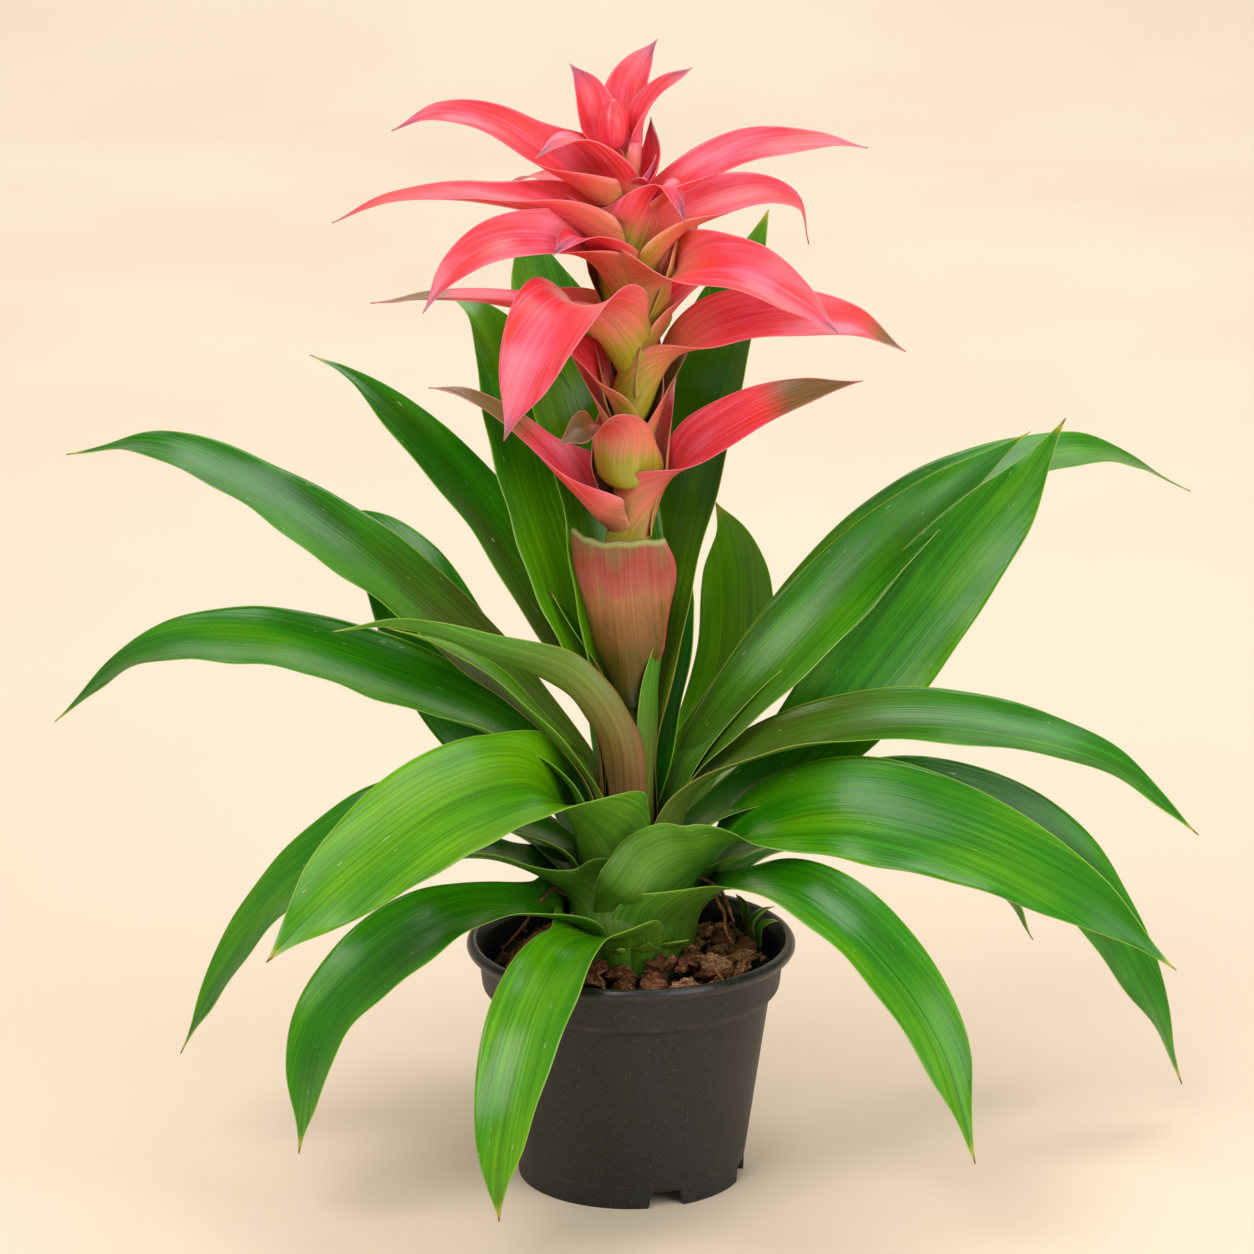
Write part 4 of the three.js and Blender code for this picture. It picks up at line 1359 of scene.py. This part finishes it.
@dataclass
class Stem:
    """The crown's root and cone and the plain stalk, turned, with soft ribs.

    A rib is its height as a share of the radius, its rate round the stem and its phase.
    """

    profile: tuple[tuple[float, float], ...] = (
        (0, 62), (10, 62), (13, 66), (13, 88.5), (28, 88.5), (28, 89.3), (25, 89.5), (6.6, 140), (6, 160),
        (5.4, 249.7), (0, 249.7),
    )
    corner: float = 0.6
    sides: int = 96
    ribs: tuple[Step, ...] = ((0.012, 11.0, 0.0), (0.008, 17.0, 1.0))

    def build(self) -> None:
        """Makes the stem as the piece that stands for the crown and stalk."""
        points, quads = lathe(rounded(self.profile, self.corner), self.sides)
        turn = np.arctan2(points[:, 1], points[:, 0])
        rib = 1.0 + sum(height * np.sin(rate * turn + phase) for height, rate, phase in self.ribs)
        points[:, :2] *= rib[:, None]
        shell = Shell("stem")
        shell.add(points, quads, {})
        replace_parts(shell.build(StemFinish().material(), "crown_tissue"), "crown_and_stalk")
        LOG.info("stem")


@dataclass
class BarkMix:
    """The plug of bark with its rough top, and the chips and crumbs that lie on it.

    A rise is the least height, then for chips what a draw adds, then what the heap at one side adds. A lump
    is its height and length, and a wrinkle its depth, its length and what its seed adds.
    """

    hole: float = 13.3
    surface: float = 86.0
    rim: float = 55.8
    lower: Rib = ((0.0, 7.8), (41.1, 7.8), (52.5, 73.5))
    hole_floor: float = 61.7
    crest_rings: int = 26
    sides: int = 160
    crest_rise: Step = (-2.0, 3.0)
    roughened: Step = (3.0, 1.0)
    lumps: tuple[Step, ...] = ((1.0, 9.0), (0.6, 4.0))
    lump_height: float = 1.1
    # Painted shade in the plug's low spots, by how far they sink.
    hollow_shading: Step = (0.6, -1.4)
    # The plug is kept dark so that the gaps between chips show painted shade.
    plug_shade_bright: float = 0.1
    chips: int = 104
    crumbs: int = 130
    chip_grid: tuple[int, int] = (16, 22)
    crumb_grid: tuple[int, int] = (6, 8)
    chip_sizes: Step = (9.0, 17.0)
    crumb_sizes: Step = (2.0, 5.0)
    seed: int = 5
    inner: float = 20.0
    outer: float = 56.0
    overhang: float = 0.42
    heap_turn: float = 0.3
    chip_rise: Step = (0.5, 1.5, 5.0)
    crumb_rise: Step = (1.5, 3.0)
    mound: float = 5.5
    mound_edge: tuple[float, float] = (29.0, 41.0)
    pattern_places: float = 9.0
    brightness: Step = (0.25, 1.0)
    shade_part: Step = (0.2, 1.0)
    shade_height: float = 0.3
    wrinkles: tuple[tuple[float, float, int], ...] = ((0.36, 1.3, 0), (0.16, 0.5, 500))
    wrinkle_waves: int = 8
    girth: float = 1.14
    squared: float = 0.66
    half_length: float = 0.5
    half_widths: Step = (0.26, 0.4)
    half_heights: Step = (0.14, 0.3)
    bends: Step = (-0.9, 0.9)
    tilts: Step = (-0.75, 0.75)

    def build(self) -> None:
        """Makes the plug and the chips, which stand together for the bark's node."""
        material = BarkFinish().material()
        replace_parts(self.plug().build(material, "bark_mix"), "potting_bark")
        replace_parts(self.loose().build(material, "bark_mix"), "potting_bark")
        LOG.info("bark mix")

    def plug(self) -> Shell:
        """The block, turned, with a top roughened by soft noise.

        Returns:
            Its shell.
        """
        top = np.linspace(0.0, 1.0, self.crest_rings)
        start, rise = self.crest_rise
        radius = self.rim + (self.hole - self.rim) * top
        crest = np.stack([radius, self.surface + start + rise * top], axis=1)
        inner = ((self.hole, self.hole_floor), (0.0, self.hole_floor))
        points, quads = lathe(np.concatenate([self.lower, crest, inner]), self.sides)
        lift = sum(
            height * ripple(points, self.seed + k, length) for k, (height, length) in enumerate(self.lumps)
        )
        low, high = self.roughened
        rough = smooth(self.surface - low, self.surface - high, points[:, 2])
        points[:, 2] += self.lump_height * lift * rough
        shell = Shell("bark_plug")
        # The plug carries painted shade: dark all over, darker still in its low spots.
        three = (0.0, self.plug_shade_bright, smooth(*self.hollow_shading, -lift))
        shell.add(points, quads, {"chip": spread(lift.shape, three)})
        return shell

    def loose(self) -> Shell:
        """Chips and crumbs: balls flattened, bent and wrinkled by noise, at seeded places.

        Returns:
            Their shell.
        """
        draw = np.random.default_rng(self.seed)
        shell = Shell("bark_chips")
        for k in range(self.chips + self.crumbs):
            big = k < self.chips
            size = draw.uniform(*(self.chip_sizes if big else self.crumb_sizes))
            ring = math.sqrt(draw.uniform(self.inner**2, (self.outer - size * self.overhang) ** 2))
            turn = draw.uniform(0.0, TURN)
            points, quads = self.chunk(draw, *(self.chip_grid if big else self.crumb_grid), size, k)
            heap = 0.5 + 0.5 * math.cos(turn - self.heap_turn)
            heave = self.mound * (1.0 - float(smooth(*self.mound_edge, ring)))
            if big:
                least, more, heaped = self.chip_rise
                heave += least + (more + heaped * heap) * draw.uniform()
            else:
                least, heaped = self.crumb_rise
                heave += least + heaped * heap
            middle = (ring * math.cos(turn), ring * math.sin(turn), self.surface + heave)
            place, bright = draw.uniform(0.0, self.pattern_places), draw.uniform(*self.brightness)
            shade = smooth(*self.shade_part, -points[:, 2] / (size * self.shade_height))
            values = {"chip": spread(shade.shape, (place, bright, shade))}
            shell.add(points + middle, quads, values)
        return shell

    def chunk(
        self, draw: np.random.Generator, rows: int, columns: int, size: float, seed: int
    ) -> tuple[Array, Array]:
        """One chip about the origin: a ball less folds of noise, squared off, bent as x^2 and turned.

        Args:
            draw: Gives its form and its turn.
            rows: Steps from pole to pole.
            columns: Steps round.
            size: Its longest side.
            seed: Picks its wrinkles.

        Returns:
            The points and the faces.
        """
        level = np.linspace(0.0, math.pi, rows + 1)
        points, quads = lathe(np.stack([np.sin(level), -np.cos(level)], axis=1), columns)
        folds = sum(
            np.abs(ripple(points, seed + later, length, self.wrinkle_waves)) * depth
            for depth, length, later in self.wrinkles
        )
        points = points * (self.girth - folds)[:, None]
        boxed = np.sign(points) * np.abs(points) ** self.squared
        halves = (self.half_length, draw.uniform(*self.half_widths), draw.uniform(*self.half_heights))
        slab = boxed * np.array(halves) * size
        slab[:, 2] += slab[:, 0] ** 2 / size * draw.uniform(*self.bends)
        angles = draw.uniform(*self.tilts, 2).tolist() + [draw.uniform(0.0, TURN)]
        return slab @ turned_axes(angles), quads


def turned_axes(angles: Sequence[float]) -> Array:
    """The rotation about x, then y, then z.

    Args:
        angles: How far about each axis, in radians.

    Returns:
        A matrix for rows of points.
    """
    made = np.eye(3)
    for axis, angle in enumerate(angles):
        step = np.eye(3)
        a, b = [k for k in range(3) if k != axis]
        step[a, a] = step[b, b] = math.cos(angle)
        step[a, b], step[b, a] = math.sin(angle), -math.sin(angle)
        made = made @ step
    return made


@dataclass
class Pot:
    """The nursery pot: bead, collar, tapered wall and a foot ring with notches, and a floor with holes."""

    notches: tuple[float, ...] = (-72.0, -12.0, 48.0, 108.0, 168.0)
    notch_width: float = 15.0
    notch_height: float = 6.5
    foot_radius: float = 45.0
    segments: int = 720
    holes: int = 6
    hole_radius: float = 3.0
    hole_ring: float = 27.0
    hole_sides: int = 28
    floor_radius: float = 41.6
    floor_sides: int = 96
    floor_middle: float = 6.75
    floor_half: float = 0.75
    corner: float = 0.45
    notch_edge: float = 1.8
    edge_rise: float = 1.2
    bead_heights: Step = (92.0, 94.0)
    outer: tuple[tuple[float, float], ...] = (
        (41, 6), (41, 0), (45, 0), (45.2, 9.0), (45.6, 9.4), (55.2, 76.5), (57.4, 77.3), (58.6, 78.6),
        (59.0, 80.0), (60.4, 92.9), (62.6, 93.0), (64.2, 93.2), (65.0, 94.6), (65.0, 96.0), (64.0, 97.6),
        (62.6, 98.0), (61.2, 97.4), (59.1, 93.0), (57.4, 78.6), (53.7, 74.5), (44.3, 8.5), (42.0, 7.5),
        (40.0, 7.5), (41, 6),
    )

    def build(self) -> None:
        """Makes the wall and the floor, which stand together for the pot's node."""
        material = PotFinish().material()
        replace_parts(self.wall().build(material, "pot_plastic"), "pot")
        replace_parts(self.floor(material), "pot")
        LOG.info("pot")

    def wall(self) -> Shell:
        """The turned wall. Its foot is raised by the notch height inside each notch.

        Returns:
            Its shell.
        """
        profile = rounded(self.outer, self.corner)
        points, quads = lathe(profile, self.segments)
        turn = np.degrees(np.arctan2(points[:, 1], points[:, 0]))
        gap = np.min([np.abs((turn - place + 180.0) % 360.0 - 180.0) for place in self.notches], axis=0)
        off = np.radians(gap) * self.foot_radius
        inside = 1.0 - smooth(self.notch_width / 2 - self.notch_edge, self.notch_width / 2, off)
        foot = self.notch_height * inside
        low = points[:, 2] < self.notch_height
        points[low, 2] = np.maximum(points[low, 2], foot[low])
        rise = np.abs(np.gradient(profile[:, 0])) + np.abs(np.gradient(profile[:, 1]))
        rubbed = np.repeat(np.clip(self.edge_rise - rise, 0.0, 1.0), self.segments)
        bead = smooth(*self.bead_heights, points[:, 2])
        shell = Shell("pot_wall")
        shell.add(points, quads, {"wear": spread(bead.shape, (rubbed, bead, 0.0))})
        return shell

    def floor(self, material: bpy.types.Material) -> bpy.types.Object:
        """The floor: a filled flat curve with round holes, given its thickness and made a mesh.

        Args:
            material: The pot's finish.

        Returns:
            The object, riding on the body.
        """
        curve = bpy.data.curves.new("pot_floor", "CURVE")
        curve.dimensions = "2D"
        curve.fill_mode = "BOTH"
        curve.extrude = self.floor_half * MM
        rings = [(0.0, 0.0, self.floor_radius, self.floor_sides)]
        for k in range(self.holes):
            turn = TURN * k / self.holes
            place = (self.hole_ring * math.cos(turn), self.hole_ring * math.sin(turn))
            rings.append((*place, self.hole_radius, self.hole_sides))
        for x, y, radius, sides in rings:
            angle = np.linspace(0.0, TURN, sides, endpoint=False)
            ring = np.zeros((len(angle), 4))
            ring[:, 0] = (x + radius * np.cos(angle)) * MM
            ring[:, 1] = (y + radius * np.sin(angle)) * MM
            ring[:, 3] = 1.0
            line = curve.splines.new("POLY")
            line.points.add(len(angle) - 1)
            line.points.foreach_set("co", ring.ravel())
            line.use_cyclic_u = True
        shape = placed("pot_floor_shape", curve)
        bpy.context.view_layer.update()
        mesh = bpy.data.meshes.new_from_object(shape.evaluated_get(bpy.context.evaluated_depsgraph_get()))
        bpy.data.objects.remove(shape)
        bpy.data.curves.remove(curve)
        height = np.empty(len(mesh.vertices) * 3)
        mesh.vertices.foreach_get("co", height)
        height[2::3] += self.floor_middle * MM
        mesh.vertices.foreach_set("co", height)
        mesh.name = "pot_floor"
        mesh.materials.clear()
        mesh.materials.append(material)
        made = placed("pot_floor", mesh)
        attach(made, BODY)
        return made


# Studio

class Lamp(NamedTuple):
    """A square soft light: its name, place, what it looks at, side in metres, watts and colour."""

    name: str
    place: tuple[float, float, float]
    aim: tuple[float, float, float]
    size: float
    power: float
    colour: tuple[float, float, float]

    def build(self) -> None:
        """Makes the light."""
        data = bpy.data.lights.new(self.name, "AREA")
        data.size = self.size
        data.energy = self.power
        data.color = self.colour
        made = placed(self.name, data)
        made.location = self.place
        made.rotation_euler = (Vector(self.aim) - Vector(self.place)).to_track_quat("-Z", "Y").to_euler()


@dataclass
class Studio:
    """A pale floor that curves up into a backdrop, soft lights, and the camera of the photograph.

    Sizes of the stage are in metres, and its bend has the radius 1. The camera looks down by some degrees.
    Its focal length and the photograph's width are in pixels, and its sensor's width is in millimetres.
    """

    eye: tuple[float, float, float] = (-0.0016, -2.0, 0.8)
    down: float = 16.04
    pixels: float = 5350.0
    picture: float = 1254.0
    sensor: float = 36.0
    plant: tuple[float, float, float] = (0.0, 0.0, 0.22)
    half_width: float = 6.0
    bend_start: float = 2.2
    bend_points: int = 16
    ceiling: float = 6.0
    sky: Colour = (1.0, 0.96, 0.91, 1.0)
    sky_strength: float = 0.41
    lamps: tuple[Lamp, ...] = (
        Lamp("key", (-0.8, -1.2, 1.8), plant, 1.2, 23.5, (1.0, 0.98, 0.95)),
        Lamp("fill", (1.4, -1.1, 1.0), plant, 1.6, 20.0, (1.0, 0.98, 0.96)),
        Lamp("top", (0.3, 0.5, 1.9), plant, 1.0, 13.0, (1.0, 1.0, 1.0)),
        Lamp("paper", (0.0, 2.4, 2.2), (0.0, 2.6, 0.0), 2.4, 20.0, (1.0, 0.98, 0.95)),
    )

    def build(self) -> None:
        """Makes the stage, the lights and the camera."""
        self.backdrop()
        for lamp in self.lamps:
            lamp.build()
        world = bpy.data.worlds.new("studio")
        world.use_nodes = True
        sky = world.node_tree.nodes["Background"].inputs
        sky["Color"].default_value = self.sky
        sky["Strength"].default_value = self.sky_strength
        bpy.context.scene.world = world
        bpy.context.scene.view_settings.view_transform = "Standard"
        self.camera()
        LOG.info("studio")

    def backdrop(self) -> None:
        """A sheet that lies flat, bends up behind in a quarter circle and rises."""
        bend = np.linspace(0.0, math.pi / 2, self.bend_points)
        depth = np.concatenate([[-self.half_width], self.bend_start + np.sin(bend), [self.bend_start + 1.0]])
        height = np.concatenate([[0.0], 1.0 - np.cos(bend), [self.ceiling]])
        wide = np.array([-self.half_width, self.half_width])
        points = np.stack(np.broadcast_arrays(wide[None, :], depth[:, None], height[:, None]), axis=-1)
        mesh = bpy.data.meshes.new("backdrop")
        mesh.from_pydata(points.reshape(-1, 3).tolist(), [], band_quads(len(depth), 2, False).tolist())
        mesh.polygons.foreach_set("use_smooth", np.ones(len(mesh.polygons), dtype=bool))
        mesh.materials.append(PaperFinish().material())
        made = placed("backdrop", mesh)

    def camera(self) -> None:
        """The camera: lens = focal length in pixels / picture's width * sensor."""
        data = bpy.data.cameras.new("camera")
        data.sensor_width = self.sensor
        data.lens = self.pixels / self.picture * self.sensor
        made = placed("camera", data)
        made.location = self.eye
        made.rotation_euler = (math.radians(90.0 - self.down), 0.0, 0.0)
        bpy.context.scene.camera = made


def main() -> None:
    """Builds the plant, the pot and the studio in order."""
    logging.basicConfig(level=logging.INFO, format="%(name)s: %(message)s")
    Pot().build()
    BarkMix().build()
    Stem().build()
    Rosette().build()
    Litter().build()
    FlowerHead().build()
    Studio().build()


if __name__ == "__main__":
    main()
